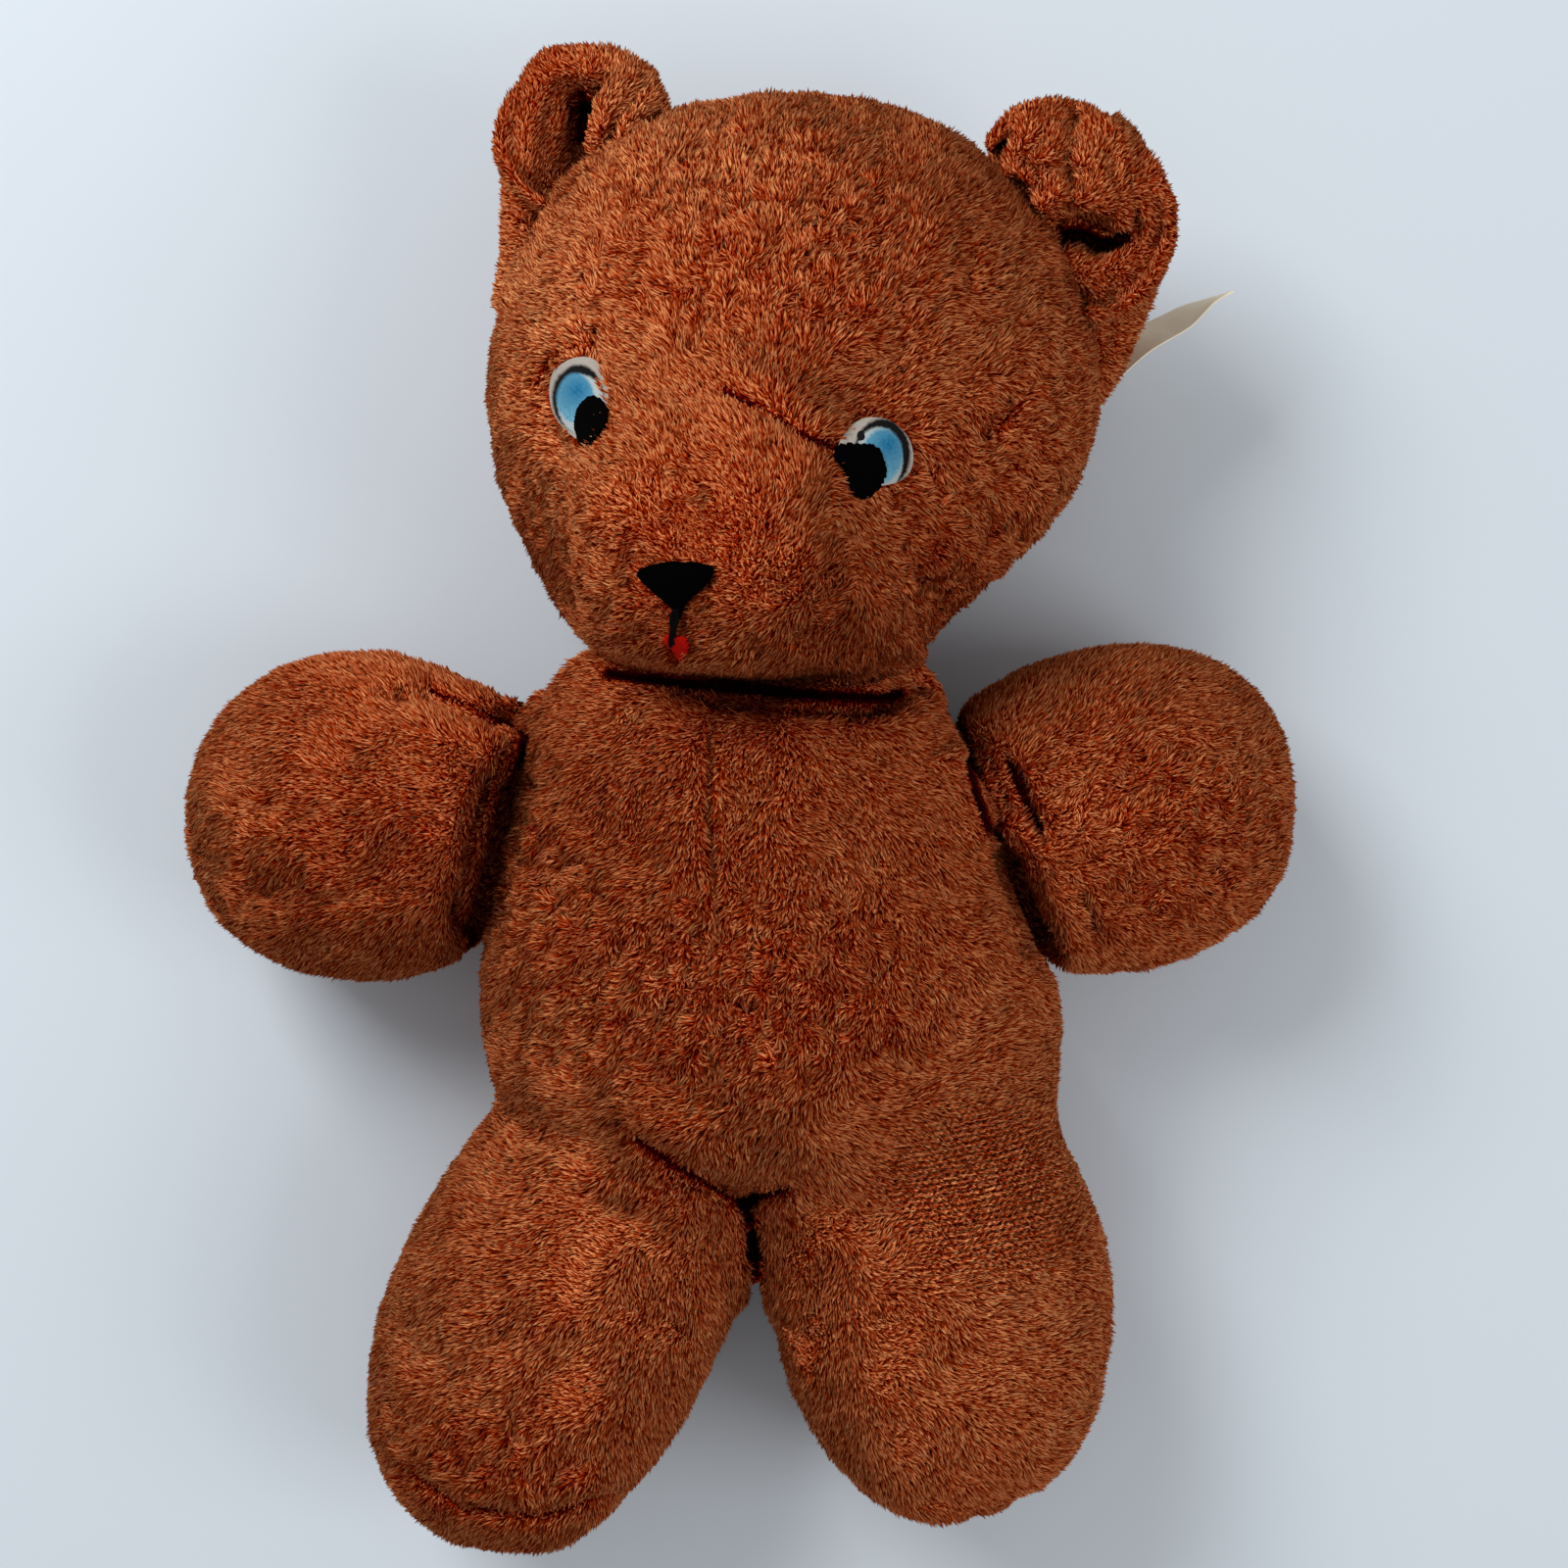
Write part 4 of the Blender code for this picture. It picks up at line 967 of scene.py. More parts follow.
def fading_and_painted_light(points):
    """How much paler, or darker where negative, the pile is painted: uneven tone and fields of
    painted light and shade.
    """
    places = seen(points)
    tone = UNEVEN_TONE * waves(points, TONE_PATCH, seed=51)
    for what, centre, radii, change in FADED_AND_PAINTED_LIGHT:
        gap = np.linalg.norm((places - centre) / radii, axis=1)
        tone += change * np.exp(-gap ** 2)
    return tone


def knit_share(points):
    """How far the knitted rows of the backing show through, from 0 to 1."""
    centre, radii = KNIT_PATCH
    gap = np.linalg.norm((seen(points) - centre) / radii, axis=1)
    return np.exp(-gap ** 4) * (points[:, 2] > SEAMS["body"])


print(len(TRODDEN_AND_PAINTED_SHADE), "trodden and shaded crease lines,", len(MATTED), "matted and", len(FADED_AND_PAINTED_LIGHT), "paler and darker fields")

# %% Comb the pile of one panel
# how far a strand leans over, in radians, and what varies it
PILE_LEAN = 0.95
PATCH_LEAN = 0.18
LOOSE_LEAN = 0.16
MAT_LEAN = 0.4
TUFT_LEAN = 0.15
LEAN_LIMITS = (0.15, 1.3)
# how far it turns out of the combed way, the more the thinner the pile is
LOOSE_TURN = 0.5
LOOSE_BARE = 1.6
LOOSE_LIMITS = (0.6, 2)
WHORL_TURN = 1.3
SLOPE = -0.25
# how long it is, as shares of the length of the pile
LENGTH_SPREAD = (0.62, 1.12)
SIDE_LENGTH = 0.72
TOP_GAIN = 0.28
PIT_LENGTH = 0.5
PIT_EDGE = 1.8
# how far the tips of one lock draw together
PULL_SPREAD = (0.05, 0.4)
TIP_ROOM = 0.2 * MM
# how dark it is: where less than the dark share of its length is left, the pile is painted dark,
# down to near black, as painted shade in the creases
DARK_SHARE = 0.42
ROOT_DEPTH = 0.5
LOCK_SHADE = 0.18
HAIR_SHADE = 0.22
PATCH_SHADE = 0.35
# painted shade in the pits of matted whorls
PIT_SHADE = 1.5
BARE_SHADE = 2.5
# how large the patches of each kind are
PATCH = 17 * MM
TUFT = 10 * MM
WHORL = 7 * MM
MAT = 5 * MM
LOCK_GAP = 2.1 * MM
WOBBLE = 5 * MM
PRIMES = (73856093, 19349663, 83492791)


def write_attribute(piece, name, values, kind="FLOAT", field="value"):
    """Stores one number or one vector for each point of a piece."""
    attribute = piece.data.attributes.new(name, kind, "POINT")
    attribute.data.foreach_set(field, values.astype(np.float32).ravel())


def locks_of(middles):
    """Groups the points into locks by the cells of a wobbly grid."""
    wobble = np.stack([waves(middles, WOBBLE, seed) for seed in (31, 32, 33)], axis=1)
    cells = np.floor((middles + wobble * MM) / LOCK_GAP).astype(np.int64)
    keys = cells @ np.array(PRIMES)
    return np.unique(keys, return_inverse=True)[1].ravel()


def comb(panel, roots, draw, share):
    """Draws the middle points out to tips and lays them over in locks."""
    points = read_points(panel)
    footing = points.copy()
    middles = points[roots:].copy()
    normals = read_normals(panel)[roots:]
    count = len(middles)
    pile_left = pile_length(footing) / PILE_LENGTH
    left = pile_left[roots:]
    mats = matted(middles)
    pits = mats * np.clip(PIT_EDGE * waves(middles, WHORL, seed=43), 0, 1)

    # which way each strand lies over the cloth
    loose = LOOSE_TURN * np.clip(LOOSE_BARE - left, *LOOSE_LIMITS) ** 2
    turn = lie_of_pile(middles) + loose * draw.normal(size=count)
    turn += WHORL_TURN * mats * waves(middles, WHORL, seed=42)
    lie = np.stack([np.cos(turn), np.sin(turn), np.full(count, SLOPE)], axis=1)
    lie -= normals * (lie * normals).sum(axis=1)[:, None]
    lie /= np.linalg.norm(lie, axis=1)[:, None]

    # how far it leans, and how long it is
    patches = waves(middles, PATCH, seed=21)
    lean = PILE_LEAN + PATCH_LEAN * patches + LOOSE_LEAN * draw.normal(size=count)
    ruffled = MAT_LEAN * mats * waves(middles, MAT, seed=41)
    lean += ruffled + TUFT_LEAN * waves(middles, TUFT, seed=44)
    lean = np.clip(lean, *LEAN_LIMITS)[:, None]
    length = left * PILE_LENGTH * share * draw.uniform(*LENGTH_SPREAD, count)
    length *= SIDE_LENGTH + TOP_GAIN * np.clip(2 * normals[:, 2], 0, 1)
    length = (length * (1 - PIT_LENGTH * pits))[:, None]
    reach = normals * np.cos(lean) + lie * np.sin(lean)
    tips = middles + reach * length

    # tips of one lock draw together
    locks = locks_of(middles)
    centre = np.zeros((locks.max() + 1, 3))
    np.add.at(centre, locks, tips)
    centre /= np.maximum(np.bincount(locks), 1)[:, None]
    tips += (centre[locks] - tips) * draw.uniform(*PULL_SPREAD, count)[:, None]
    tips[:, 2] = np.maximum(tips[:, 2], TIP_ROOM)
    points[roots:] = tips
    write_points(panel, points)

    # what the material reads: root to tip, paler or darker, knit, and the footing
    grown = np.clip(pile_left / DARK_SHARE, 0, 1)
    strand = (1 + ROOT_DEPTH) * grown - ROOT_DEPTH
    strand[:roots] = np.clip(strand[:roots] - 1, -ROOT_DEPTH, 0)
    shade = LOCK_SHADE * draw.normal(size=locks.max() + 1)[locks]
    shade += HAIR_SHADE * draw.normal(size=count)
    # painted shade: pile trodden short in the creases is darkened towards near black
    tone = -BARE_SHADE * (1 - grown)
    # random tone of locks, hairs and patches, painted shade in the pits, and the fields of painted
    # light and shade
    tone[roots:] += shade + PATCH_SHADE * patches - PIT_SHADE * pits + fading_and_painted_light(middles)
    write_attribute(panel, "strand", strand)
    write_attribute(panel, "tone", tone)
    write_attribute(panel, "knit", knit_share(points))
    write_attribute(panel, "footing", footing / MM, "FLOAT_VECTOR", "vector")


# %% Grow the pile on one panel
GRAIN = 0.3
CUT_REACH = 0.3 * MM
CUT_FACING = 0.95
LEAST_FACE = 0.08 * MM ** 2


def scatter(panel, draw, fixed):
    """Moves the points of a panel about a little, so that no grid shows."""
    points = read_points(panel)
    normals = read_normals(panel)
    moves = draw.uniform(-GRAIN, GRAIN, points.shape) * SKIN_GRID
    moves -= normals * (moves * normals).sum(axis=1)[:, None]
    moves[fixed] = 0
    write_points(panel, points + moves)


def face_table(panel):
    """The middles, normals and areas of all faces."""
    count = len(panel.data.polygons)
    middles = np.empty(3 * count)
    normals = np.empty(3 * count)
    areas = np.empty(count)
    panel.data.polygons.foreach_get("center", middles)
    panel.data.polygons.foreach_get("normal", normals)
    panel.data.polygons.foreach_get("area", areas)
    return middles.reshape(-1, 3), normals.reshape(-1, 3), areas


def grow_pile(panel, flat_cuts, seed, share=1.0):
    """Turns every face of a panel's outside into one strand of pile."""
    draw = np.random.default_rng(seed)
    points = read_points(panel)
    fixed = np.zeros(len(points), bool)
    for place, normal in flat_cuts:
        fixed |= np.abs((points - place) @ normal) < CUT_REACH
    scatter(panel, draw, fixed)
    edit(panel, "FACE", "SELECT")
    bpy.ops.mesh.quads_convert_to_tris(quad_method="BEAUTY", ngon_method="BEAUTY")
    done()
    middles, normals, areas = face_table(panel)
    furry = areas > LEAST_FACE
    for place, normal in flat_cuts:
        flat = np.abs((middles - place) @ normal) < CUT_REACH
        furry &= ~(flat & (np.abs(normals @ normal) > CUT_FACING))
    furry &= ~under_face_pieces(middles)
    roots = len(panel.data.vertices)
    edit(panel, "FACE")
    done()
    panel.data.polygons.foreach_set("select", furry)
    bpy.ops.object.mode_set(mode="EDIT")
    bpy.ops.mesh.poke()
    done()
    comb(panel, roots, draw, share)
    panel.data.polygons.foreach_set("use_smooth", np.ones(len(panel.data.polygons), bool))
    strands = len(panel.data.vertices) - roots
    print(panel.name, strands, "strands,", len(panel.data.polygons), "faces")

# %% [markdown]
# ## The look of the pile
#
# The pile is acrylic plush, dyed rust brown. Light goes into it and is lost
# between the fibres, so a strand is dark at its root and pale at its tip,
# and neighbouring strands and locks differ a little. Each strand is a bunch
# of finer fibres: every point knows where on the backing its strand is
# rooted, and a noise read there instead of at the point runs along the
# strand in fine streaks.
# Where the hip is stretched, the knitted rows of the backing show through,
# 1.7 mm apart, with a fainter set across them.

# %% Plush
# width of a streak and distance of the knitted rows, in mm
FIBRE = 0.36
KNIT_ROW = 1.7
KNIT_TILT = math.radians(8)
KNIT_CROSS = math.radians(62)
# the bands of a wave texture of scale 1 are this far apart
WAVE_BAND = math.pi / 10


def knit_rows(material, place, tilt, row):
    """Parallel rows, a number of millimetres apart, in the plane of the belly."""
    turned = add_node(material, "Mapping", {"Rotation": (0, 0, math.pi / 2 - tilt),
                                            "Scale": (1 / MM, 1 / MM, 0)}, {"Vector": place})
    rows = add_node(material, "TexWave", {"Scale": WAVE_BAND / row, "Distortion": 1.2,
                                          "Detail": 1.0, "Detail Scale": 0.8},
                    {"Vector": turned.outputs["Vector"]}, bands_direction="X")
    return rows.outputs["Fac"]


def plush_material(name, stops):
    """Dyed acrylic pile: dark roots, pale tips, streaks along the strands, wear, and painted light
    and shade.
    """
    material, shader = new_material(name, roughness=0.9, specular=0.0)
    shader.inputs["Sheen Weight"].default_value = 0.03
    shader.inputs["Sheen Roughness"].default_value = 0.4
    shader.inputs["Sheen Tint"].default_value = colour("#E08048")

    # from root to tip, with streaks along the strand
    strand = add_node(material, "Attribute", attribute_name="strand")
    footing = add_node(material, "Attribute", attribute_name="footing")
    fibres = add_node(material, "TexNoise", {"Scale": 1 / FIBRE, "Detail": 1.0, "Roughness": 0.6},
                      {"Vector": footing.outputs["Vector"]})
    streak = add_node(material, "MapRange", {"From Min": 0.3, "From Max": 0.7, "To Min": -0.56,
                                             "To Max": 0.72}, {"Value": fibres.outputs["Fac"]})
    depth = add_node(material, "Math", {1: 0.8}, {0: strand.outputs["Fac"],
                                                  2: streak.outputs["Result"]},
                     operation="MULTIPLY_ADD")
    ramp = add_node(material, "ValToRGB", links={"Fac": depth.outputs["Value"]})
    ends = ramp.color_ramp.elements
    ends[0].color = colour(stops[0][1])
    ends[1].color = colour(stops[-1][1])
    for share, code in stops[1:-1]:
        ends.new(share).color = colour(code)

    # paler and darker fields: painted light and shade, uneven tone, and the near black painted
    # shade of the trodden creases
    tone = add_node(material, "Attribute", attribute_name="tone")
    value = add_node(material, "MapRange", {"From Min": -2.5, "From Max": 1.5, "To Min": 0.1,
                                            "To Max": 1.54}, {"Value": tone.outputs["Fac"]})

    # knitted rows where the backing shows
    place = add_node(material, "TexCoord").outputs["Object"]
    rows = add_node(material, "Math", links={0: knit_rows(material, place, KNIT_TILT, KNIT_ROW)},
                    values={1: 1.4}, operation="MULTIPLY")
    both = add_node(material, "Math", links={0: rows.outputs["Value"],
                                             1: knit_rows(material, place, KNIT_CROSS, KNIT_ROW)},
                    operation="ADD")
    knit = add_node(material, "Attribute", attribute_name="knit")
    darker = add_node(material, "MapRange", {"From Min": 0.3, "From Max": 2.0, "To Min": -0.75,
                                             "To Max": 0.4}, {"Value": both.outputs["Value"]})
    shown = add_node(material, "Math", {2: 1.0}, {0: darker.outputs["Result"],
                                                  1: knit.outputs["Fac"]},
                     operation="MULTIPLY_ADD")
    lit = add_node(material, "Math", links={0: value.outputs["Result"],
                                            1: shown.outputs["Value"]}, operation="MULTIPLY")

    # paler painted pile is a little greyer and yellower, and darker painted shade a little redder
    pale = add_node(material, "MapRange", {"From Min": -1.5, "From Max": 1.5, "To Min": 1.04,
                                           "To Max": 0.96}, {"Value": tone.outputs["Fac"]})
    warm = add_node(material, "MapRange", {"From Min": -1.5, "From Max": 1.5, "To Min": 0.49,
                                           "To Max": 0.51}, {"Value": tone.outputs["Fac"]})
    worn_and_shaded_colour = add_node(material, "HueSaturation", links={"Value": lit.outputs["Value"],
                                                      "Saturation": pale.outputs["Result"],
                                                      "Hue": warm.outputs["Result"],
                                                      "Color": ramp.outputs["Color"]})
    material.node_tree.links.new(worn_and_shaded_colour.outputs["Color"], shader.inputs["Base Color"])
    return material


plush = plush_material("worn_acrylic_plush", [
    (0.0, "#2C0100"), (0.3, "#7C1400"), (0.6, "#AF3F11"), (1.0, "#E0915B")])
print(plush.name, "has", len(plush.node_tree.nodes), "nodes")

# %% Grow the pile on all panels
PANEL_SEED = 100
EAR_SEED = 300
EAR_PILE = 0.72
for number, (name, panel) in enumerate(panels.items()):
    form = name.replace("_front_plush", "").replace("_back_plush", "")
    cuts = [(np.array((0, 0, SEAMS[form])), np.array((0.0, 0.0, 1.0)))]
    cuts += [(np.array(CROTCH), np.array(way)) for way in CUTS.get(form, [])]
    grow_pile(panel, cuts, PANEL_SEED + number)
    panel.data.materials.append(plush)
for number, ear in enumerate(ears.values()):
    grow_pile(ear, [], EAR_SEED + number, EAR_PILE)
    ear.data.materials.append(plush)

# %% [markdown]
# ## Eyes, nose and mouth
#
# The eyes are two ovals of white felt with the iris and a lash line printed
# on, and a black felt pupil glued over each. The nose is black felt with a
# thread stitched below it, and the tongue is a scrap of red felt. They are
# cut to the outline seen in the photograph and laid on the face: each point
# of a disc is cast onto the head along the line of sight, and a smooth
# surface through those points carries the felt. A row of the table has the
# outline and its middle in pixels, then lift, thickness and dome of the
# felt in millimetres, and how ragged its edge is.

# %% Felt cut to an outline
SIDES = 72
RINGS = 9
PRINT_UNIT = 100.0
EDGE_FROM = 0.95
CORNER_CUT = 0.25


def rounded(outline, rounds=2):
    """An outline whose corners are cut off, twice over."""
    line = np.array(outline, float)
    for _ in range(rounds):
        after = np.roll(line, -1, axis=0)
        near = (1 - CORNER_CUT) * line + CORNER_CUT * after
        far = CORNER_CUT * line + (1 - CORNER_CUT) * after
        line = np.stack([near, far], axis=1).reshape(-1, 2)
    return line


def to_outline(discs, outline, centre):
    """Points of a disc, stretched to fill an outline of pixels."""
    edge = rounded(outline) - centre
    angles = np.arctan2(-edge[:, 1], edge[:, 0])
    order = np.argsort(angles)
    reach = np.linalg.norm(edge, axis=1)[order]
    far = np.interp(np.arctan2(discs[:, 1], discs[:, 0]), angles[order], reach,
                    period=2 * math.pi)
    return np.stack([centre[0] + discs[:, 0] * far, centre[1] - discs[:, 1] * far], axis=1)


def smooth_surface(places):
    """Places with their heights moved to the best fitting curved surface."""
    middle = places.mean(axis=0)
    across, down = (places - middle)[:, :2].T / MM
    terms = np.stack([np.ones(len(places)), across, down, across * down,
                      across ** 2, down ** 2], axis=1)
    fit = np.linalg.lstsq(terms, places[:, 2], rcond=None)[0]
    return np.column_stack([places[:, :2], terms @ fit])


def felt_piece(name, outline, centre, lift, thickness, dome, ragged):
    """A piece of felt cut to an outline and laid on the face."""
    bpy.ops.object.select_all(action="DESELECT")
    bpy.ops.mesh.primitive_circle_add(vertices=SIDES, radius=1, fill_type="NGON", calc_uvs=False)
    felt = bpy.context.object
    felt.name = name
    edit(felt, "FACE", "SELECT")
    for _ in range(RINGS - 1):
        bpy.ops.mesh.inset(thickness=1 / RINGS)
    bpy.ops.mesh.poke()
    done()
    discs = read_points(felt)
    far = np.linalg.norm(discs[:, :2], axis=1)
    draw = np.random.default_rng(len(name))
    discs[:, :2] *= 1 + ragged * draw.uniform(-1, 1, (len(discs), 1)) * (far > EDGE_FROM)[:, None]
    pixels = to_outline(discs, outline, centre)
    places = smooth_surface(np.array([under(pixel, head_tree)[0] for pixel in pixels]))
    sight = np.array(camera.location) - places
    sight /= np.linalg.norm(sight, axis=1)[:, None]
    rise = (lift + dome * (1 - far ** 2)) * MM
    write_points(felt, places + sight * rise[:, None])
    prints = felt.data.uv_layers.new(name="print")
    corners = np.empty(len(felt.data.loops), int)
    felt.data.loops.foreach_get("vertex_index", corners)
    offsets = (pixels - centre)[corners] / PRINT_UNIT * (1, -1)
    prints.data.foreach_set("uv", offsets.ravel())
    apply_modifier(felt, "SOLIDIFY", thickness=thickness * MM, offset=-1.0)
    only(felt)
    bpy.ops.object.shade_smooth_by_angle(angle=math.radians(50))
    box = np.ptp(read_points(felt), axis=0) / MM
    print(name, "is", box.round(1), "mm")
    return felt


# %% Cut and lay the felt
FELTS = {
    "eye_left_felt": ([
        (592, 363), (604, 365), (613, 373), (619, 386), (621, 402), (619, 416), (612, 432),
        (602, 444), (592, 451), (580, 442), (570, 432), (563, 419), (560, 404), (561, 390),
        (566, 377), (577, 367)], (590, 406), 2.7, 0.9, 0.5, 0.0),
    "eye_right_felt": ([
        (882, 426), (894, 426), (906, 428), (918, 435), (927, 446), (932, 460), (932, 474),
        (927, 485), (917, 492), (904, 495), (888, 497), (870, 486), (859, 468), (855, 452),
        (862, 442), (871, 432)], (892, 462), 2.5, 0.9, 0.5, 0.0),
    "pupil_left_felt": ([
        (603, 403), (612, 405), (619, 413), (619, 425), (612, 438), (605, 450), (598, 459),
        (592, 457), (588, 446), (585, 432), (588, 418), (594, 408)],
        (601, 429), 4.0, 0.9, 0.3, 0.04),
    "pupil_right_felt": ([
        (853, 453), (866, 452), (880, 452), (893, 453), (901, 463), (905, 476), (904, 488),
        (898, 499), (889, 507), (879, 509), (871, 503), (867, 490), (863, 478), (855, 471),
        (851, 461)], (883, 477), 3.7, 0.9, 0.3, 0.05),
    "nose_felt": ([
        (647, 586), (654, 580), (666, 576), (681, 573), (692, 572), (697, 575), (703, 572),
        (716, 575), (729, 579), (727, 591), (716, 602), (703, 613), (697, 621), (695, 632),
        (691, 634), (687, 630), (687, 622), (676, 613), (662, 601)],
        (691, 594), 2.5, 1.4, 1.4, 0.0),
    "tongue_felt": ([
        (678, 648), (690, 650), (700, 649), (702, 660), (698, 676), (692, 676), (688, 666),
        (683, 660), (677, 658)], (693, 658), 4.2, 0.7, 0.2, 0.16),
}
felts = {name: felt_piece(name, *row) for name, row in FELTS.items()}

# %% The stitch below the nose
# the pixels that each strand of thread passes
STRANDS = [
    [(692, 616), (688, 626), (690, 636), (687, 646), (688, 652)],
    [(694, 616), (696, 627), (691, 636), (692, 645), (688, 650)],
    [(690, 620), (692, 630), (688, 640), (691, 650)],
]
THREAD = 0.6 * MM
THREAD_LIFT = 2.5 * MM

threads = []
for number, strand in enumerate(STRANDS):
    path = []
    for pixel in strand:
        place, normal = under(pixel, head_tree)
        lifted = place + normal * THREAD_LIFT
        path.append((*seen(np.array([lifted]))[0], lifted.z / MM))
    threads.append(roll("mouth_thread", path, THREAD / MM))
only(*threads)
bpy.ops.object.join()
stitch = threads[0]
stitch.name = "mouth_thread"
bpy.ops.object.shade_smooth_by_angle(angle=math.radians(60))
print("stitch", len(stitch.data.polygons), "faces")

# %% [markdown]
# ## Felt, print and thread
#
# Felt is a mat of short wool or rayon fibres with no gloss: very rough, a
# little fuzzy at the edges, its colour slightly uneven. The print on the
# eyes is made of ellipses, measured in pixels of the photograph: a dark one
# with a pale one over it leaves the lash line, and a blue one is the iris.

# %% Felt materials
FELT_GRAIN = 0.45 * MM
FELT_BUMP = 0.35
FELT_HEIGHT = 0.3 * MM


def felt_grain(material, shader):
    """Fibres of felt, about half a millimetre apart, as colour noise and bump."""
    place = add_node(material, "TexCoord")
    fibres = add_node(material, "TexNoise", {"Scale": 1 / FELT_GRAIN, "Detail": 4.0,
                                             "Roughness": 0.7}, {"Vector": place.outputs["Object"]})
    bump = add_node(material, "Bump", {"Strength": FELT_BUMP, "Distance": FELT_HEIGHT},
                    {"Height": fibres.outputs["Fac"]})
    material.node_tree.links.new(bump.outputs["Normal"], shader.inputs["Normal"])
    return fibres.outputs["Fac"]


def mix(material, share, first, second):
    """One colour over another; each is a hex code or the output of a node.

    The node keeps its two colours in sockets 6 and 7, and gives one in 2.
    """
    values = {}
    links = {0: share}
    for socket, paint in ((6, first), (7, second)):
        if isinstance(paint, str):
            values[socket] = colour(paint)
        else:
            links[socket] = paint
    return add_node(material, "Mix", values, links, data_type="RGBA").outputs[2]


def plain_felt(name, dark, light, specular):
    """Felt of one colour, slightly uneven."""
    material, shader = new_material(name, roughness=0.95, specular=specular)
    fibres = felt_grain(material, shader)
    paint = mix(material, fibres, dark, light)
    material.node_tree.links.new(paint, shader.inputs["Base Color"])
    return material


def spot(material, where, centre, radii, turn=0.0, soft=0.05):
    """1 inside an ellipse of the print and 0 outside it."""
    place = add_node(material, "Mapping", {"Location": (centre[0], centre[1], 0),
                                           "Rotation": (0, 0, turn),
                                           "Scale": (radii[0], radii[1], 1)},
                     {"Vector": where}, vector_type="TEXTURE")
    far = add_node(material, "VectorMath", links={0: place.outputs["Vector"]}, operation="LENGTH")
    inside = add_node(material, "MapRange", {"From Min": 1 + soft, "From Max": 1 - soft},
                      {"Value": far.outputs["Value"]})
    return inside.outputs["Result"]


def printed_felt(name, lash, white, iris, deep, *marks):
    """White felt with a printed lash line and a blue iris that pales downwards."""
    material, shader = new_material(name, roughness=0.9, specular=0.15)
    fibres = felt_grain(material, shader)
    print_map = add_node(material, "UVMap", uv_map="print")
    blot = add_node(material, "TexNoise", {"Scale": 28.0, "Detail": 3.0},
                    {"Vector": print_map.outputs["UV"]})
    where = add_node(material, "VectorMath", {1: (0.03, 0.03, 0)},
                     {0: blot.outputs["Color"], 2: print_map.outputs["UV"]},
                     operation="MULTIPLY_ADD").outputs["Vector"]
    paint = mix(material, fibres, "#857D75", "#B8B0A6")
    paint = mix(material, spot(material, where, *lash), paint, "#0A0909")
    paint = mix(material, spot(material, where, *white), paint, "#A5AFAE")
    blue = mix(material, spot(material, where, *deep, 0.0, 0.8), "#74A9BC", "#0F6088")
    blotchy = add_node(material, "MapRange", {"From Min": 0.42, "From Max": 0.68, "To Max": 0.75},
                       {"Value": blot.outputs["Fac"]})
    blue = mix(material, blotchy.outputs["Result"], blue, "#3A86A6")
    faint = add_node(material, "MapRange", {"From Min": 0.45, "From Max": 0.7, "To Max": 0.6},
                     {"Value": fibres})
    blue = mix(material, faint.outputs["Result"], blue, "#1C5F7E")
    paint = mix(material, spot(material, where, *iris, 0.0, 0.08), paint, blue)
    for mark in marks:
        paint = mix(material, spot(material, where, *mark), paint, "#0F0D0C")
    material.node_tree.links.new(paint, shader.inputs["Base Color"])
    return material


def offset(centre, across, down):
    """A place on the print, from pixels, with the eye's middle as its origin."""
    return ((across - centre[0]) / PRINT_UNIT, (centre[1] - down) / PRINT_UNIT)


PRINTS = {
    "left": [((591.5, 405), (0.262, 0.345)), ((594.5, 411), (0.235, 0.3)),
             ((588.5, 404.5), (0.19, 0.25)), ((590, 397), (0.17, 0.17))],
    "right": [((901.5, 462), (0.288, 0.36)), ((898, 468), (0.245, 0.334)),
              ((902, 463), (0.205, 0.27)), ((908, 452), (0.16, 0.18)),
              ((880, 443), (0.04, 0.05), 0.3)],
}
for side, ellipses in PRINTS.items():
    eye = felts[f"eye_{side}_felt"]
    centre = FELTS[eye.name][1]
    spots = [(offset(centre, *middle), *rest) for middle, *rest in ellipses]
    eye.data.materials.append(printed_felt("printed_felt_" + side, *spots))
black_felt = plain_felt("black_felt", "#000000", "#030202", 0.02)
red_felt = plain_felt("red_felt", "#8C0804", "#C81408", 0.05)
thread_paint, thread_shader = new_material("black_cotton_thread", roughness=0.85, specular=0.05)
thread_shader.inputs["Base Color"].default_value = colour("#060505")
felt_grain(thread_paint, thread_shader)
for name in ("pupil_left_felt", "pupil_right_felt", "nose_felt"):
    felts[name].data.materials.append(black_felt)
felts["tongue_felt"].data.materials.append(red_felt)
stitch.data.materials.append(thread_paint)
print("felt:", [felt.active_material.name for felt in felts.values()])

# %% [markdown]
# ## The cloth label
#
# A strip of bare woven cotton tape was caught in the seam behind the right
# ear. It is one thin sheet: a grid bent along its length, turned so that
# it is seen more and more edge on, with the creases of a strip that was
# pulled at.

# %% Bend the label
LABEL_WIDTH = 16 * MM
LABEL_LENGTH = 42 * MM
LABEL_CLOTH = 0.45 * MM
LABEL_ROOT = placed(1158, 350, 46 * MM)
LABEL_TIP = placed(1253, 301, 47 * MM)
LABEL_TURN = (math.radians(25), math.radians(78))
WAVE_HEIGHT = 0.7 * MM
FOLD_HEIGHT = 0.5 * MM
ARCH_HEIGHT = 1.2 * MM
TWIST_RATE = 1.3
TWIST_START = 0.1
TWIST_EASE = 0.8
WAVES = (9, 0.8)
FOLDS = (5, -1.1)

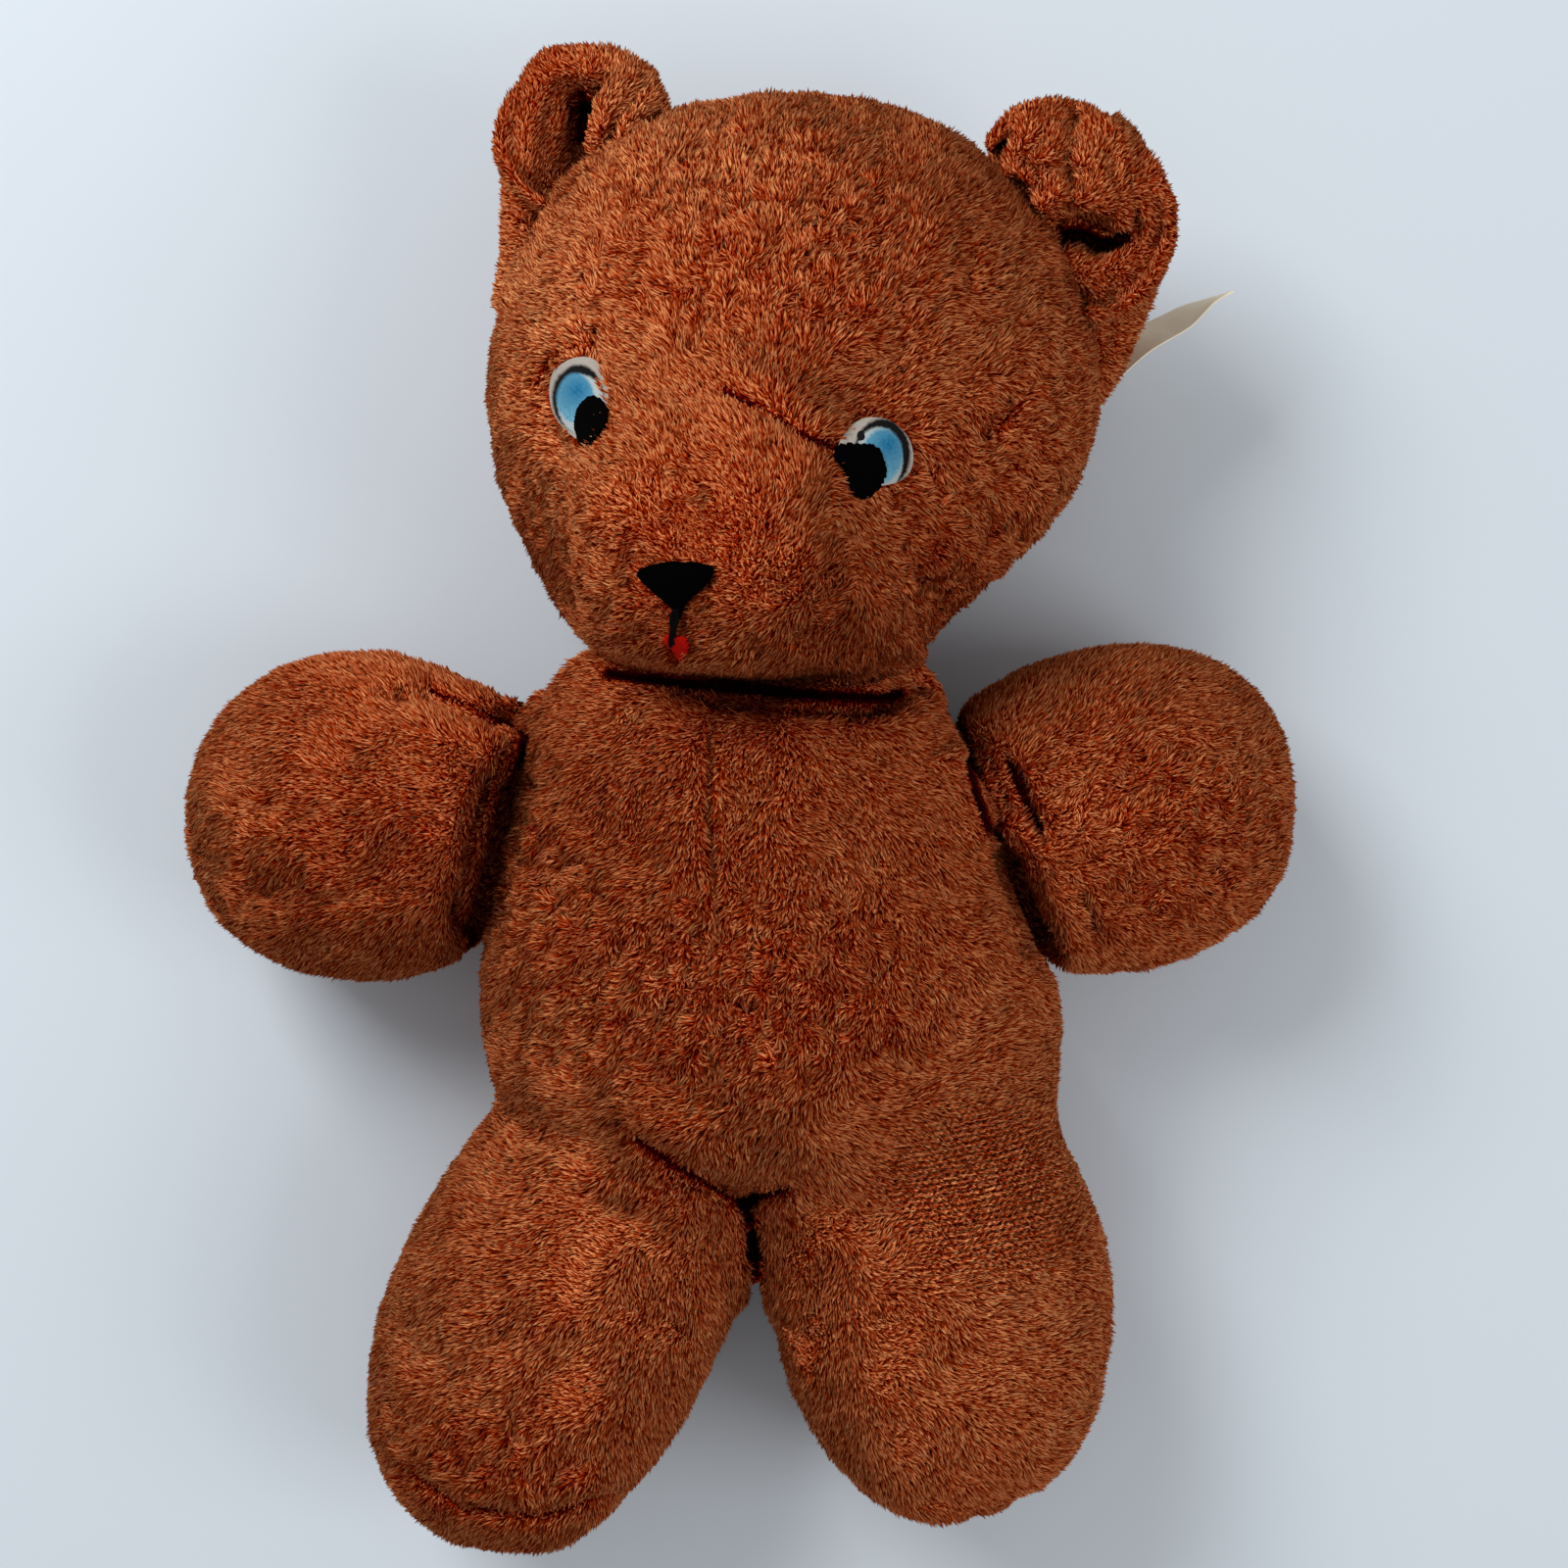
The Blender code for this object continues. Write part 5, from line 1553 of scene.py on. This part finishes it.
bpy.ops.object.select_all(action="DESELECT")
bpy.ops.mesh.primitive_grid_add(x_subdivisions=40, y_subdivisions=16, size=2, calc_uvs=False)
label = bpy.context.object
label.name = "cloth_label"
grid = read_points(label)
along = grid[:, 0] / 2 + 0.5
across = grid[:, 1]
out = (LABEL_TIP - LABEL_ROOT).normalized()
side = Vector((out.y, -out.x, 0))
start = np.array(LABEL_TIP - out * LABEL_LENGTH)
twist = np.clip(along * TWIST_RATE - TWIST_START, 0, 1) ** TWIST_EASE
turn = np.interp(twist, (0, 1), LABEL_TURN)
width = across * LABEL_WIDTH / 2
wave = WAVE_HEIGHT * np.sin(along * WAVES[0] + across * WAVES[1])
wave += FOLD_HEIGHT * np.abs(np.sin(along * FOLDS[0] + FOLDS[1] - across))
flat = width * np.cos(turn) + wave * np.sin(turn)
high = -width * np.sin(turn) + wave * np.cos(turn) + ARCH_HEIGHT * np.sin(math.pi * along)
places = start + along[:, None] * LABEL_LENGTH * np.array(out)
places -= np.array(side) * flat[:, None]
places[:, 2] += high
write_points(label, places)
apply_modifier(label, "SOLIDIFY", thickness=LABEL_CLOTH, offset=0.0)
only(label)
bpy.ops.object.shade_smooth_by_angle(angle=math.radians(40))
print("label reaches", (LABEL_TIP / MM).to_tuple(1))

# %% Cotton tape
THREAD_GAP = 0.5 * MM
label_paint, label_shader = new_material("woven_cotton_tape", roughness=0.85, specular=0.2)
place = add_node(label_paint, "TexCoord")
label_way = -out.to_2d().angle_signed(Vector((1, 0)))
turned = add_node(label_paint, "Mapping", {"Rotation": (0, 0, label_way)},
                  {"Vector": place.outputs["Object"]})
weave = [
    add_node(label_paint, "TexWave", {"Scale": WAVE_BAND / THREAD_GAP, "Distortion": 0.6},
             {"Vector": turned.outputs["Vector"]}, bands_direction=direction)
    for direction in ("X", "Z")
]
threads_up = add_node(label_paint, "Math", links={0: weave[0].outputs["Fac"],
                                                 1: weave[1].outputs["Fac"]}, operation="ADD")
stain = add_node(label_paint, "TexNoise", {"Scale": 160.0, "Detail": 4.0},
                 {"Vector": place.outputs["Object"]})
cloth_paint = mix(label_paint, stain.outputs["Fac"], "#F4E0BE", "#FFF8E2")
label_paint.node_tree.links.new(cloth_paint, label_shader.inputs["Base Color"])
bump = add_node(label_paint, "Bump", {"Strength": 0.4, "Distance": 0.1 * MM},
                {"Height": threads_up.outputs["Value"]})
label_paint.node_tree.links.new(bump.outputs["Normal"], label_shader.inputs["Normal"])
label.data.materials.append(label_paint)
print("tape threads", THREAD_GAP / MM, "mm apart")

# %% Fix the pieces to the frame
REPLACED = {
    "head_front_plush": ["head_face", "head_chin"],
    "head_back_plush": ["head_back", "head_stuffing"],
    "torso_front_plush": ["torso_front_left", "torso_front_right"],
    "torso_back_plush": ["torso_back", "torso_stuffing"],
    "leg_right_front_plush": ["leg_right_front", "leg_right_sole"],
    "leg_right_back_plush": ["leg_right_back", "leg_right_stuffing"],
    "leg_left_front_plush": ["leg_left_front", "leg_left_sole"],
    "leg_left_back_plush": ["leg_left_back", "leg_left_stuffing"],
    "arm_left_front_plush": ["arm_left_front"],
    "arm_left_back_plush": ["arm_left_back", "arm_left_stuffing"],
    "arm_right_front_plush": ["arm_right_front"],
    "arm_right_back_plush": ["arm_right_back", "arm_right_stuffing"],
}
for name, nodes in REPLACED.items():
    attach(panels[name], "root")
    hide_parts(*nodes)
for name, ear in ears.items():
    side = name.replace("_plush", "")
    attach(ear, "root")
    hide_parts(side + "_back", side + "_lining")

SMALL_PIECES = [
    (felts["eye_left_felt"], "eye_left", "eye_felt"),
    (felts["eye_right_felt"], "eye_right", "eye_felt"),
    (felts["pupil_left_felt"], "pupil_left", "pupil_felt"),
    (felts["pupil_right_felt"], "pupil_right", "pupil_felt"),
    (felts["nose_felt"], "nose", "pupil_felt"),
    (felts["tongue_felt"], "tongue", "tongue_felt"),
    (stitch, "mouth_stitch", "black_thread"),
    (label, "label_tag", "label_cloth"),
]
for piece, node, slot in SMALL_PIECES:
    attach(piece, "root")
    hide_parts(node)
print(len(REPLACED) + len(ears) + len(SMALL_PIECES), "pieces on the frame")
